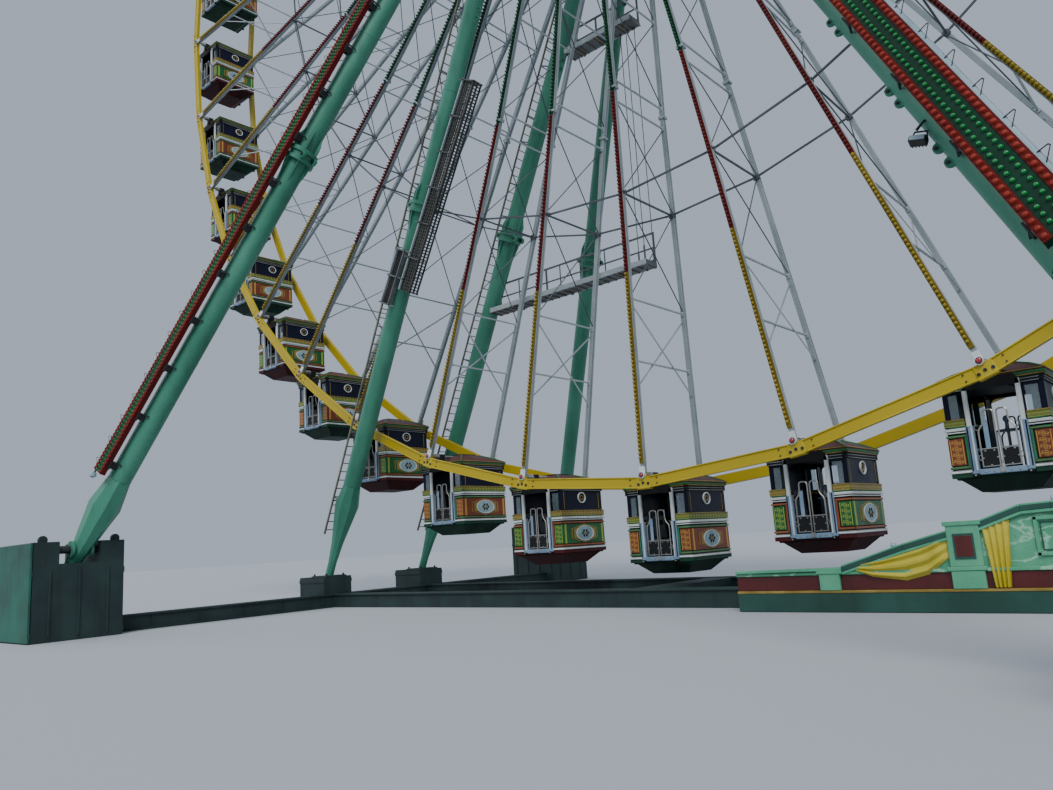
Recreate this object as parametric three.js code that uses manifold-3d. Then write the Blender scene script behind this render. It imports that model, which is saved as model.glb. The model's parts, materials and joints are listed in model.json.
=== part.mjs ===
// A 50 m transportable ferris wheel with 36 hanging cabins, as a 1:2 scale model.
// Lengths are millimetres of the model. +X is right seen from the front, -Y is the front, +Z is up.
// The origin is on the ground, below the middle of the axle.
import * as THREE from "three";
import { mergeVertices } from "three/addons/utils/BufferGeometryUtils.js";
import Module from "manifold-3d";

const wasm = await Module();
wasm.setup();

// M is one metre of the real wheel at 1:2, so every size below is the real one in metres.
const M = 500;
const GAP = 0.3;

const WHEEL_RADIUS = 23.4 * M; // to the cabin pivots
const HUB_HEIGHT = 26.6 * M;
const CABINS = 36;
const STEP = (2 * Math.PI) / CABINS;

// Half the distance between the front and rear wheel frames, at the hub, at the spoke joint and at the rim.
const HALF_AT_HUB = 1.45 * M;
const HALF_AT_JOINT = 1.26 * M;
const HALF_AT_RIM = 1.42 * M;
const JOINT_RADIUS = 12.55 * M;

const FLANGE_RADIUS = 1.75 * M;
const FLANGE_THICK = 0.26 * M;
const SPOKE_WIDE = 0.1 * M;
const SPOKE_DEEP = 0.13 * M;
const RIM_HIGH = 0.28 * M;
const RIM_DEEP = 0.12 * M;
const RIM_OUT = 0.2 * M; // from the pivot circle out to the middle of the rim beam
const STRUT = 0.045 * M;
const TIE_RADIUS = 15.7 * M; // the ring of ties and struts between the two frames

const AXLE_RADIUS = 0.34 * M;
const AXLE_HALF = 2.55 * M;
const DRUM_RADIUS = 0.95 * M;

const HEAD_RADIUS = 1.05 * M;
const HEAD_IN = 1.64 * M; // from the middle of the wheel to the head's inner face
const HEAD_OUT = 2.62 * M;
const BEARING_RADIUS = 0.36 * M;

// Where each leg's centre line would meet the hub's height and the ground.
const MAIN_TOP = { x: 0.5 * M, y: 2.1 * M };
const MAIN_FOOT = { x: 13.1 * M, y: 2.1 * M };
const SIDE_TOP = { x: 0, y: 2.1 * M };
const SIDE_FOOT_FRONT = { x: 12.7 * M, y: 11.3 * M };
const SIDE_FOOT_REAR = { x: 13.0 * M, y: 10.4 * M };
const MAIN_SEAT = 1.0 * M; // height of the face that a main leg stands on
const SIDE_SEAT = 1.9 * M;
const LEG_SIDES = 10;

const CABIN_WIDE = 1.82 * M;
const CABIN_DEEP = 1.92 * M;
const CABIN_WALL = 0.07 * M;
const ROOF_TOP = 0.08 * M; // above the pivot, so that the shaft runs through the roof
const EAVE_DROP = 0.24 * M; // each drop is measured down from the pivot
const CEILING_DROP = 0.36 * M;
const SILL_DROP = 1.16 * M;
const FLOOR_DROP = 2.08 * M;
const BODY_DROP = 2.18 * M;
const HOPPER_DROP = 2.5 * M;
const POST = 0.17 * M;
const ROOF_OVERHANG = 0.1 * M;
const SHAFT_RADIUS = 0.055 * M;
const SHAFT_HALF = HALF_AT_RIM - SPOKE_DEEP / 2 - 6;

const LAMP_BOARD_WIDE = 0.43 * M;
const LAMP_BOARD_THICK = 0.11 * M;
const LAMP_BOARD_HIGH = 25.0 * M; // where it starts and ends, measured up the leg's centre line
const LAMP_BOARD_LOW = 4.0 * M;
const LAMP_BOARD_OUT = 0.075 * M; // from the leg's centre line, sideways and to the front
const LAMP_BOARD_FRONT = 0.545 * M;

const MAIN_BLOCK = { halfX: 0.7 * M, halfY: 0.55 * M, out: 0.2 * M };
const SIDE_BLOCK = { halfX: 1.2 * M, halfY: 1.1 * M, out: 0.7 * M };
const CHEEK = { y: 0.8 * M, thick: 0.6 * M, high: 0.55 * M };
const BEAM_HIGH = 0.42 * M;
const BEAM_WIDE = 0.4 * M;
const SIDE_BEAM_X = 12.3 * M;
const SIDE_BEAM_FRONT = 9.8 * M;
const SIDE_BEAM_REAR = 9.2 * M;
const CROSS_BEAM_REACH = 12.4 * M;
const STEP_DOWN = 2; // crossing beams differ this much in height

const WALK_IN = 1.7 * M; // a walkway's inner and outer edge, from the middle of the wheel
const WALK_OUT = 2.3 * M;
const WALK_THICK = 0.16 * M;
const RAIL = 0.05 * M;
const RAIL_HIGH = 1.0 * M;
const POSTS = 4;
const LOW_WALK = { left: -7.96 * M, rail: -7.96 * M, right: -1.3 * M, z: 10.05 * M };
const LANDING = { left: -3.8 * M, rail: -3.66 * M, right: -1.1 * M, z: 18.3 * M };
const FOLDED = { low: 10.1 * M, high: 16.3 * M, wide: 0.5 * M, deep: 0.55 * M };
const FOLDED_LOW_SHIFT = [0.62 * M, -0.31 * M, -0.29 * M]; // from the leg's centre line at each end
const FOLDED_HIGH_SHIFT = [0.72 * M, 0.02 * M, -0.34 * M];
const LADDER = { low: 2.2 * M, high: 24.2 * M, out: 0.55 * M, half: 0.2 * M, rung: 0.035 * M, rungs: 10 };

const DECK = { left: 3.2 * M, right: 11.6 * M, front: 3.0 * M, back: 1.75 * M, high: 0.75 * M };
const DECK_THICK = 0.25 * M;
const DECK_FRONT_WALL = 0.55 * M;
const PARAPET_THICK = 0.12 * M;
const PARAPET_TOP = [[3.2, 0.76], [5.3, 0.78], [7.9, 1.48], [8.6, 1.73], [11.6, 1.76]];

const turquoise = { color: 0x4f9a83, roughness: 0.45, metalness: 0.1 };
const spokeGrey = { color: 0xb4b9ba, roughness: 0.5, metalness: 0.3 };
const galvanised = { color: 0x8b8f90, roughness: 0.6, metalness: 0.5 };
const darkGreen = { color: 0x27403c, roughness: 0.6, metalness: 0.1 };
const cabinBlue = { color: 0x23284a, roughness: 0.4, metalness: 0.0 };
const cabinGreen = { color: 0x1f7a35, roughness: 0.4, metalness: 0.0 };
const cabinRed = { color: 0xa8502a, roughness: 0.4, metalness: 0.0 };
const boardGreen = { color: 0x0d5a35, roughness: 0.5, metalness: 0.0 };
const fasciaGreen = { color: 0x5fae82, roughness: 0.5, metalness: 0.0 };

const vec = (x, y, z) => new THREE.Vector3(x, y, z);

function solid(geometry) {
  const bare = geometry.clone();
  bare.deleteAttribute("normal");
  bare.deleteAttribute("uv");
  const merged = mergeVertices(bare, 1e-3);
  const triVerts = new Uint32Array(merged.index.array);
  const vertProperties = merged.attributes.position.array;
  return new wasm.Manifold(new wasm.Mesh({ numProp: 3, vertProperties, triVerts }));
}

function join(solids) {
  let row = solids;
  while (row.length > 1) {
    const next = [];
    for (let i = 0; i < row.length; i += 2) {
      next.push(i + 1 < row.length ? row[i].add(row[i + 1]) : row[i]);
    }
    row = next;
  }
  return row[0];
}

function meshOf(name, made, look) {
  const { numProp, numVert, vertProperties, triVerts } = made.getMesh();
  const points = new Float32Array(numVert * 3);
  for (let i = 0; i < numVert; i += 1) {
    points.set(vertProperties.subarray(i * numProp, i * numProp + 3), i * 3);
  }
  const geometry = new THREE.BufferGeometry();
  geometry.setAttribute("position", new THREE.BufferAttribute(points, 3));
  geometry.setIndex(new THREE.BufferAttribute(new Uint32Array(triVerts), 1));
  const mesh = new THREE.Mesh(geometry, new THREE.MeshStandardMaterial(look));
  mesh.name = name;
  return mesh;
}

// A box between two corners.
function block(low, high) {
  const size = high.clone().sub(low);
  const middle = low.clone().add(high).multiplyScalar(0.5);
  const geometry = new THREE.BoxGeometry(size.x, size.y, size.z);
  return solid(geometry.translate(middle.x, middle.y, middle.z));
}

// A turn that takes +Y to the direction and keeps +Z as near as it can to the side direction.
function turnAlong(direction, side) {
  const y = direction.clone().normalize();
  const x = new THREE.Vector3().crossVectors(y, side).normalize();
  const z = new THREE.Vector3().crossVectors(x, y);
  return new THREE.Matrix4().makeBasis(x, y, z);
}

// A square bar from a to b. deep is measured along the side direction, wide across it.
function bar(a, b, wide, deep, side) {
  const along = b.clone().sub(a);
  const geometry = new THREE.BoxGeometry(wide, along.length(), deep);
  const middle = a.clone().add(b).multiplyScalar(0.5);
  geometry.applyMatrix4(turnAlong(along, side).setPosition(middle));
  return solid(geometry);
}

// A round body along a to b: each profile pair is a share of the length and a radius.
function turned(a, b, profile, sides, phase = 0) {
  const along = b.clone().sub(a);
  const length = along.length();
  const points = [new THREE.Vector2(0, profile[0][0] * length)];
  for (const [share, radius] of profile) points.push(new THREE.Vector2(radius, share * length));
  points.push(new THREE.Vector2(0, profile[profile.length - 1][0] * length));
  const geometry = new THREE.LatheGeometry(points, sides, phase);
  geometry.applyMatrix4(turnAlong(along, vec(0.12, 0.31, 0.94)).setPosition(a));
  return solid(geometry);
}

const drum = (radius, y0, y1, sides) =>
  turned(vec(0, y0, HUB_HEIGHT), vec(0, y1, HUB_HEIGHT), [[0, radius], [1, radius]], sides);

// A point of the wheel: spoke angle from the bottom, radius, and distance along the axle.
const wheelPoint = (angle, radius, y) =>
  vec(radius * Math.sin(angle), y, HUB_HEIGHT - radius * Math.cos(angle));
const radial = (angle) => vec(Math.sin(angle), 0, -Math.cos(angle));

// Half the distance between the frames at a radius.
function halfAt(radius) {
  if (radius < JOINT_RADIUS) {
    const share = (radius - FLANGE_RADIUS) / (JOINT_RADIUS - FLANGE_RADIUS);
    return HALF_AT_HUB + (HALF_AT_JOINT - HALF_AT_HUB) * share;
  }
  const share = (radius - JOINT_RADIUS) / (WHEEL_RADIUS - JOINT_RADIUS);
  return HALF_AT_JOINT + (HALF_AT_RIM - HALF_AT_JOINT) * share;
}

// A polygon ring about the axle with its corners on the spokes.
function ring(radius, high, deep, y) {
  const corner = (r, i) => new THREE.Vector2(r * Math.sin(i * STEP), r * Math.cos(i * STEP));
  const corners = (r) => Array.from({ length: CABINS }, (_, i) => corner(r, i));
  const outline = new THREE.Shape(corners(radius + high / 2));
  outline.holes.push(new THREE.Path(corners(radius - high / 2).reverse()));
  const geometry = new THREE.ExtrudeGeometry(outline, { depth: deep, bevelEnabled: false });
  geometry.rotateX(Math.PI / 2).translate(0, y + deep / 2, HUB_HEIGHT);
  return solid(geometry);
}

// A spoke is one bent bar: it leans in to the joint and out again to the rim.
function spoke(angle, face) {
  const line = [
    [FLANGE_RADIUS - 0.1 * M, HALF_AT_HUB],
    [JOINT_RADIUS, HALF_AT_JOINT],
    [WHEEL_RADIUS + RIM_OUT, HALF_AT_RIM],
  ].map(([radius, half]) => [radius, face * half]);
  const side = (shift) => line.map(([radius, y]) => new THREE.Vector2(radius, y + shift));
  const outline = new THREE.Shape([...side(-SPOKE_DEEP / 2), ...side(SPOKE_DEEP / 2).reverse()]);
  const geometry = new THREE.ExtrudeGeometry(outline, { depth: SPOKE_WIDE, bevelEnabled: false });
  geometry.translate(0, 0, -SPOKE_WIDE / 2);
  const out = radial(angle);
  const along = vec(0, 1, 0);
  const across = new THREE.Vector3().crossVectors(out, along);
  const turn = new THREE.Matrix4().makeBasis(out, along, across);
  geometry.applyMatrix4(turn.setPosition(0, 0, HUB_HEIGHT));
  return solid(geometry);
}

// The ties between neighbouring spokes, with a strut across the wheel at each spoke.
function tieRing() {
  const half = halfAt(TIE_RADIUS) - SPOKE_DEEP / 2 - STRUT / 2 - 1.5;
  const pieces = [-1, 1].map((face) => ring(TIE_RADIUS, STRUT, STRUT, face * half));
  for (let i = 0; i < CABINS; i += 1) {
    const [front, rear] = [-half, half].map((y) => wheelPoint(i * STEP, TIE_RADIUS, y));
    pieces.push(bar(front, rear, STRUT, STRUT, radial(i * STEP)));
  }
  return meshOf("tie_ring", join(pieces), spokeGrey);
}

function wheelFrame(name, face) {
  const flange = new THREE.CylinderGeometry(FLANGE_RADIUS, FLANGE_RADIUS, FLANGE_THICK, CABINS);
  flange.rotateY(STEP / 2).translate(0, face * HALF_AT_HUB, HUB_HEIGHT);
  const rim = ring(WHEEL_RADIUS + RIM_OUT, RIM_HIGH, RIM_DEEP, face * HALF_AT_RIM);
  const pieces = [solid(flange), rim];
  for (let i = 0; i < CABINS; i += 1) pieces.push(spoke(i * STEP, face));
  const bore = drum(AXLE_RADIUS + GAP, -2 * AXLE_HALF, 2 * AXLE_HALF, 12);
  return meshOf(name, join(pieces).subtract(bore), spokeGrey);
}

// The axle with the hub's drum between the two flanges.
function hub() {
  const inside = HALF_AT_HUB - FLANGE_THICK / 2 - GAP;
  const axle = drum(AXLE_RADIUS, -AXLE_HALF, AXLE_HALF, 12);
  return meshOf("hub_and_axle", axle.add(drum(DRUM_RADIUS, -inside, inside, 18)), turquoise);
}

// A cabin, with its pivot at the origin.
function cabinSolid() {
  const x = CABIN_WIDE / 2;
  const y = CABIN_DEEP / 2;
  const shell = block(vec(-x, -y, -BODY_DROP), vec(x, y, -EAVE_DROP));
  const inside = block(
    vec(-x + CABIN_WALL, -y + CABIN_WALL, -FLOOR_DROP),
    vec(x - CABIN_WALL, y - CABIN_WALL, -CEILING_DROP),
  );
  const windows = block(vec(-x + POST, -2 * y, -SILL_DROP), vec(x - POST, 2 * y, -CEILING_DROP));
  const roof = frustum(x + ROOF_OVERHANG, y + ROOF_OVERHANG, -EAVE_DROP - 0.02 * M, 0.6, ROOF_TOP);
  const hopper = frustum(x - 0.06 * M, y - 0.06 * M, -BODY_DROP + 0.02 * M, 0.62, -HOPPER_DROP);
  const shaft = turned(vec(0, -SHAFT_HALF, 0), vec(0, SHAFT_HALF, 0), [[0, SHAFT_RADIUS], [1, SHAFT_RADIUS]], 6);
  const open = shell.subtract(inside).subtract(windows);
  return join([open, roof, hopper, shaft]);
}

// A four-sided block that narrows from a wide face to a share of it.
function frustum(halfX, halfY, wideZ, share, narrowZ) {
  const low = Math.min(wideZ, narrowZ);
  const high = Math.max(wideZ, narrowZ);
  const top = narrowZ > wideZ ? share : 1;
  const bottom = narrowZ > wideZ ? 1 : share;
  const geometry = new THREE.CylinderGeometry(top * Math.SQRT2, bottom * Math.SQRT2, 1, 4);
  geometry.rotateY(Math.PI / 4).rotateX(Math.PI / 2);
  geometry.scale(halfX, halfY, high - low).translate(0, 0, (low + high) / 2);
  return solid(geometry);
}

function cabins() {
  const made = cabinSolid();
  const looks = [cabinGreen, cabinRed, cabinBlue];
  return Array.from({ length: CABINS }, (_, i) => {
    const name = "cabin_" + String(i + 1).padStart(2, "0");
    const mesh = meshOf(name, made, looks[i % looks.length]);
    mesh.position.copy(wheelPoint(i * STEP, WHEEL_RADIUS, 0));
    return mesh;
  });
}

// The points where a leg's centre line meets the hub's height and the ground.
function legLine(kind, side, face) {
  const foot = kind === "main" ? MAIN_FOOT : face < 0 ? SIDE_FOOT_FRONT : SIDE_FOOT_REAR;
  const top = kind === "main" ? MAIN_TOP : SIDE_TOP;
  return [vec(side * top.x, face * top.y, HUB_HEIGHT), vec(side * foot.x, face * foot.y, 0)];
}

// Share of the centre line's length, from the hub down, and radius.
const LEG_PROFILE = [
  [0.02, 0.2], [0.3, 0.28], [0.5215, 0.29], [0.5215, 0.42], [0.5335, 0.42], [0.5335, 0.3],
  [0.85, 0.29], [0.875, 0.4], [0.92, 0.2], [0.945, 0.14], [0.97, 0.14],
].map(([share, radius]) => [share, radius * M]);

function legSolid(kind, side, face) {
  const [top, foot] = legLine(kind, side, face);
  return turned(top, foot, LEG_PROFILE, LEG_SIDES);
}

const headSolid = (face, grow) =>
  drum(
    HEAD_RADIUS + grow,
    face > 0 ? HEAD_IN - grow : -HEAD_OUT - grow,
    face > 0 ? HEAD_OUT + grow : -HEAD_IN + grow,
    12,
  );

function leg(kind, side, face) {
  const seat = kind === "main" ? MAIN_SEAT : SIDE_SEAT;
  const reach = 20 * M;
  const below = block(vec(-reach, -reach, -M), vec(reach, reach, seat + GAP));
  const name = kind + "_leg_" + (face < 0 ? "front" : "rear") + (side < 0 ? "_left" : "_right");
  const made = legSolid(kind, side, face).subtract(headSolid(face, GAP * 2)).subtract(below);
  return meshOf(name, made, turquoise);
}

function hubHead(face) {
  const bore = drum(BEARING_RADIUS, -2 * AXLE_HALF, 2 * AXLE_HALF, 12);
  const name = face < 0 ? "hub_head_front" : "hub_head_rear";
  return meshOf(name, headSolid(face, 0).subtract(bore), turquoise);
}

// A point on a leg's centre line at a height.
function legAt(kind, side, face, height) {
  const [top, foot] = legLine(kind, side, face);
  return foot.lerp(top, height / HUB_HEIGHT);
}

// Where a leg stands: a block, with two cheeks beside a side leg's foot.
function seatBlock(kind, side, face) {
  const seat = kind === "main" ? MAIN_SEAT : SIDE_SEAT;
  const { halfX, halfY, out } = kind === "main" ? MAIN_BLOCK : SIDE_BLOCK;
  const at = legAt(kind, side, face, seat);
  const x = at.x + side * out;
  const body = block(vec(x - halfX, at.y - halfY, 0), vec(x + halfX, at.y + halfY, seat));
  if (kind === "main") return [body];
  const cheeks = [-CHEEK.y, CHEEK.y].map((shift) => {
    const [low, high] = [-1, 1].map((end) => at.y + shift + (end * CHEEK.thick) / 2);
    return block(vec(x - halfX, low, seat - STEP_DOWN), vec(x + halfX, high, seat + CHEEK.high));
  });
  return [body, ...cheeks];
}

function baseFrame() {
  const half = BEAM_WIDE / 2;
  const pieces = [];
  for (const side of [-1, 1]) {
    for (const face of [-1, 1]) {
      pieces.push(...seatBlock("main", side, face), ...seatBlock("side", side, face));
    }
    const x = side * SIDE_BEAM_X;
    const y = side * MAIN_FOOT.y;
    const reach = CROSS_BEAM_REACH;
    pieces.push(block(vec(x - half, -SIDE_BEAM_FRONT, 0), vec(x + half, SIDE_BEAM_REAR, BEAM_HIGH)));
    pieces.push(block(vec(-reach, y - half, 0), vec(reach, y + half, BEAM_HIGH - STEP_DOWN)));
  }
  const top = BEAM_HIGH - 2 * STEP_DOWN;
  pieces.push(block(vec(-BEAM_WIDE, -MAIN_FOOT.y, 0), vec(BEAM_WIDE, MAIN_FOOT.y, top)));
  return meshOf("base_frame", join(pieces), darkGreen);
}

// A lamp board on the outer front side of a front side leg.
function lampBoard(side) {
  const high = legAt("side", side, -1, LAMP_BOARD_HIGH);
  const low = legAt("side", side, -1, LAMP_BOARD_LOW);
  const down = low.clone().sub(high).normalize();
  const out = new THREE.Vector3().crossVectors(down, vec(0, -1, 0)).normalize();
  if (out.x * side < 0) out.negate();
  const front = new THREE.Vector3().crossVectors(out, down).normalize();
  if (front.y > 0) front.negate();
  const shift = out.multiplyScalar(LAMP_BOARD_OUT).add(front.clone().multiplyScalar(LAMP_BOARD_FRONT));
  const name = side < 0 ? "lamp_board_left" : "lamp_board_right";
  const made = bar(high.add(shift), low.add(shift), LAMP_BOARD_WIDE, LAMP_BOARD_THICK, front);
  return meshOf(name, made, boardGreen);
}

// A service walkway with a railing on its outer edge, cut round the leg that it meets.
function walkwaySolid(face, { left, rail, right, z }) {
  const across = (a, b) => [Math.min(face * a, face * b), Math.max(face * a, face * b)];
  const boxAt = (x0, x1, [y0, y1], z0, z1) => block(vec(x0, y0, z0), vec(x1, y1, z1));
  const railY = across(WALK_OUT - RAIL, WALK_OUT);
  const pieces = [boxAt(left, right, across(WALK_IN, WALK_OUT), z - WALK_THICK, z)];
  for (let i = 0; i < POSTS; i += 1) {
    const x = rail + (i * (right - rail - RAIL)) / (POSTS - 1);
    pieces.push(boxAt(x, x + RAIL, railY, z - 1, z + RAIL_HIGH));
  }
  pieces.push(boxAt(rail, right, railY, z + RAIL_HIGH - RAIL, z + RAIL_HIGH));
  const [top, foot] = legLine("main", -1, face);
  const grown = LEG_PROFILE.map(([share, radius]) => [share, radius + 1]);
  return join(pieces).subtract(turned(top, foot, grown, LEG_SIDES));
}

// The front walkway, folded up along the inner side of the front left main leg.
function foldedWalkway() {
  const low = legAt("main", -1, -1, FOLDED.low).add(vec(...FOLDED_LOW_SHIFT));
  const high = legAt("main", -1, -1, FOLDED.high).add(vec(...FOLDED_HIGH_SHIFT));
  const made = bar(low, high, FOLDED.wide, FOLDED.deep, vec(0, 1, 0));
  return meshOf("folded_walkway_front", made, galvanised);
}

// A ladder on the outer side of a left main leg.
function ladder(face) {
  const [low, high] = [LADDER.low, LADDER.high].map((z) => legAt("main", -1, face, z));
  const along = high.clone().sub(low).normalize();
  const out = vec(-along.z, 0, along.x).multiplyScalar(LADDER.out);
  const rail = (y) => {
    const shift = out.clone().add(vec(0, y, 0));
    return bar(low.clone().add(shift), high.clone().add(shift), RAIL, RAIL, vec(0, 1, 0));
  };
  const pieces = [rail(-LADDER.half), rail(LADDER.half)];
  for (let i = 0; i < LADDER.rungs; i += 1) {
    const at = low.clone().lerp(high, (i + 0.5) / LADDER.rungs).add(out);
    const half = vec(0, LADDER.half, 0);
    pieces.push(bar(at.clone().sub(half), at.clone().add(half), LADDER.rung, LADDER.rung, along));
  }
  return meshOf(face < 0 ? "ladder_front" : "ladder_rear", join(pieces), galvanised);
}

// The boarding platform on the right, open below behind its front wall.
function platform() {
  const { left, right, front, back, high } = DECK;
  const body = block(vec(left, -front, 0), vec(right, -back, high));
  const wallBack = -front + DECK_FRONT_WALL;
  const below = block(vec(left - M, wallBack, -M), vec(right + M, -back + M, high - DECK_THICK));
  return meshOf("boarding_platform", body.subtract(below), galvanised);
}

function parapet() {
  const outline = new THREE.Shape([
    new THREE.Vector2(DECK.left, 0),
    ...PARAPET_TOP.map(([x, z]) => new THREE.Vector2(x * M, z * M)),
    new THREE.Vector2(DECK.right, 0),
  ]);
  const geometry = new THREE.ExtrudeGeometry(outline, { depth: PARAPET_THICK, bevelEnabled: false });
  geometry.rotateX(Math.PI / 2).translate(0, -DECK.front - GAP, 0);
  return meshOf("platform_parapet", solid(geometry), fasciaGreen);
}

const group = new THREE.Group();
group.add(hub(), wheelFrame("front_wheel_frame", -1), wheelFrame("rear_wheel_frame", 1), tieRing());
group.add(...cabins());
for (const face of [-1, 1]) {
  group.add(hubHead(face), ladder(face));
  for (const side of [-1, 1]) group.add(leg("main", side, face), leg("side", side, face));
}
group.add(baseFrame(), lampBoard(-1), lampBoard(1));
group.add(meshOf("walkway_rear_low", walkwaySolid(1, LOW_WALK), galvanised));
group.add(meshOf("landing_rear_high", walkwaySolid(1, LANDING), galvanised), foldedWalkway());
group.add(platform(), parapet());

export default group;
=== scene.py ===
import json
import math
from functools import partial
import bpy
import bmesh
from mathutils import Matrix, Vector

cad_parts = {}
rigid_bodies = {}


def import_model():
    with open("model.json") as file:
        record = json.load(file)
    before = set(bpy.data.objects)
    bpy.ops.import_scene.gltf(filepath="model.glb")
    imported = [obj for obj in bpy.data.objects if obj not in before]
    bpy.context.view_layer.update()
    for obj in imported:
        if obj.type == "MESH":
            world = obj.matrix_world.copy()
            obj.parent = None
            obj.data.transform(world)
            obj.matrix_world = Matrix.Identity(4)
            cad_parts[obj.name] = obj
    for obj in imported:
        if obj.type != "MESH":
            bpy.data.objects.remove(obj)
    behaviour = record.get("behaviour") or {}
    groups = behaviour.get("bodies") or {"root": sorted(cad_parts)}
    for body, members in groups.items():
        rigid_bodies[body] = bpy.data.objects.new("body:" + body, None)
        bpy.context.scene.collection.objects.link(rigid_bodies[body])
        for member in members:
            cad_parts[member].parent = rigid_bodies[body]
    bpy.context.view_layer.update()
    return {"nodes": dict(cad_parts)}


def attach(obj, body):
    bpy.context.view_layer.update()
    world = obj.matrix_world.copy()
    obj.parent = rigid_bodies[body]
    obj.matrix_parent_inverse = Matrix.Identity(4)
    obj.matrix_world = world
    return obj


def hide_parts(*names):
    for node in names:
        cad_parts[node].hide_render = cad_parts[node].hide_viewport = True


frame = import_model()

# Sizes are metres of the real wheel, and m turns them into metres of the 1:2 model.
m = 0.5
wheel = {
    "radius": 23.4,  # to the cabin pivots
    "hubHeight": 26.6,
    "count": 36,
    "halfAtHub": 1.45,
    "halfAtJoint": 1.26,
    "halfAtRim": 1.42,
    "flange": 1.75,
    "joint": 12.55,
    "spokeWide": 0.1,
    "spokeDeep": 0.13,
    "rimOut": 0.2,
    "rimDeep": 0.12,
}
axle = Vector((0, 0, wheel["hubHeight"]))
corners = [(a, b) for a in (-1, 1) for b in (-1, 1)]

# The helpers below all work in real metres; piece() brings a shape to the model's size.


def faceOf(verts):
    return {f for v in verts for f in v.link_faces}


def paintFaces(verts, mat):
    for f in faceOf(verts):
        f.material_index = mat


def soften(bm, verts, bevel):
    edges = list({e for v in verts for e in v.link_edges})
    bmesh.ops.bevel(bm, geom=edges, offset=bevel, offset_type="OFFSET", segments=1,
                    profile=0.5, affect="EDGES", material=-1)


def box(bm, a, b, mat=0, bevel=0.0, turn=None):  # between any two opposite corners
    low, high = (Vector(map(pick, a, b)) for pick in (min, max))
    place = Matrix.Translation((low + high) / 2) @ Matrix.Diagonal((*(high - low), 1))
    made = bmesh.ops.create_cube(bm, size=1, matrix=(turn or Matrix()) @ place)["verts"]
    paintFaces(made, mat)
    if bevel:
        soften(bm, made, bevel)
    return made


def upright(bm, x, y, halfX, halfY, z0, z1, mat=0, bevel=0.0):  # a box that stands round x, y
    box(bm, (x - halfX, y - halfY, z0), (x + halfX, y + halfY, z1), mat, bevel)


def along(a, b, up=(0, 0, 1)):  # a matrix at a, with Z towards b and Y as near as can be to up
    z = (Vector(b) - Vector(a)).normalized()
    x = Vector(up).cross(z)
    x = x.normalized() if x.length > 1e-5 else z.orthogonal().normalized()
    y = z.cross(x)
    return Matrix.Translation(Vector(a)) @ Matrix((x, y, z)).transposed().to_4x4()


def beam(bm, a, b, wide, deep, mat=0, up=(0, 0, 1), bevel=0.0):
    length = (Vector(b) - Vector(a)).length
    box(bm, (-wide / 2, -deep / 2, 0), (wide / 2, deep / 2, length), mat, bevel, along(a, b, up))


def rod(bm, a, b, radius, mat=0, sides=6, radius2=None):
    length = (Vector(b) - Vector(a)).length
    place = along(a, b) @ Matrix.Translation((0, 0, length / 2))
    made = bmesh.ops.create_cone(bm, cap_ends=True, segments=sides, radius1=radius,
                                 radius2=radius if radius2 is None else radius2,
                                 depth=length, matrix=place)["verts"]
    paintFaces(made, mat)


def pin(bm, at, half, radius, mat=0, sides=6):  # a rod through a point, half its length each way
    at, half = Vector(at), Vector(half)
    rod(bm, at - half, at + half, radius, mat, sides)


def ball(bm, at, radius, mat=0, squash=1.0, out=(0, 0, 1), detail=1):
    place = along(at, Vector(at) + Vector(out)) @ Matrix.Diagonal((1, 1, squash, 1))
    made = bmesh.ops.create_icosphere(bm, subdivisions=detail, radius=radius, matrix=place)["verts"]
    paintFaces(made, mat)


def turned(bm, profile, place=None, steps=24, mat=0):  # pairs of radius and height, spun about Z
    verts = [bm.verts.new((r, 0, z)) for r, z in profile]
    edges = [bm.edges.new(pair) for pair in zip(verts, verts[1:])]
    before = set(bm.faces)
    bmesh.ops.spin(bm, geom=verts + edges, cent=(0, 0, 0), axis=(0, 0, 1),
                   angle=2 * math.pi, steps=steps, use_merge=True)
    faces = [f for f in bm.faces if f not in before]
    made = list({v for f in faces for v in f.verts})
    bmesh.ops.remove_doubles(bm, verts=made, dist=1e-4)
    made = list({v for f in bm.faces if f not in before for v in f.verts})
    if place:
        bmesh.ops.transform(bm, matrix=place, verts=made)
    paintFaces(made, mat)


def capShape(radius, high, sides=6, rings=2):  # a round lamp cap that stands on z = 0
    bm = bmesh.new()
    arc = [math.pi / 2 * k / rings for k in range(rings + 1)]
    turned(bm, [(radius * math.sin(t), high * math.cos(t)) for t in arc] + [(0, 0)], None, sides)
    return meshFrom(bm)


def meshFrom(bm, name="shape"):
    mesh = bpy.data.meshes.new(name)
    bm.to_mesh(mesh)
    bm.free()
    return mesh


def stamp(bm, shape, places):  # a copy of a small mesh at each place
    for place in places:
        copy = shape.copy()
        copy.transform(place)
        bm.from_mesh(copy)
        bpy.data.meshes.remove(copy)


def tube(bm, points, radius, mat=0, closed=False, sides=1):
    curve = bpy.data.curves.new("path", "CURVE")
    curve.dimensions = "3D"
    curve.bevel_depth = radius
    curve.bevel_resolution = sides
    curve.use_fill_caps = True
    line = curve.splines.new("POLY")
    line.points.add(len(points) - 1)
    for p, q in zip(line.points, points):
        p.co = (*q, 1)
    line.use_cyclic_u = closed
    holder = bpy.data.objects.new("path", curve)
    mesh = bpy.data.meshes.new_from_object(holder)
    mesh.polygons.foreach_set("material_index", [mat] * len(mesh.polygons))
    bm.from_mesh(mesh)
    for data, store in ((holder, bpy.data.objects), (mesh, bpy.data.meshes), (curve, bpy.data.curves)):
        store.remove(data)


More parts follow.
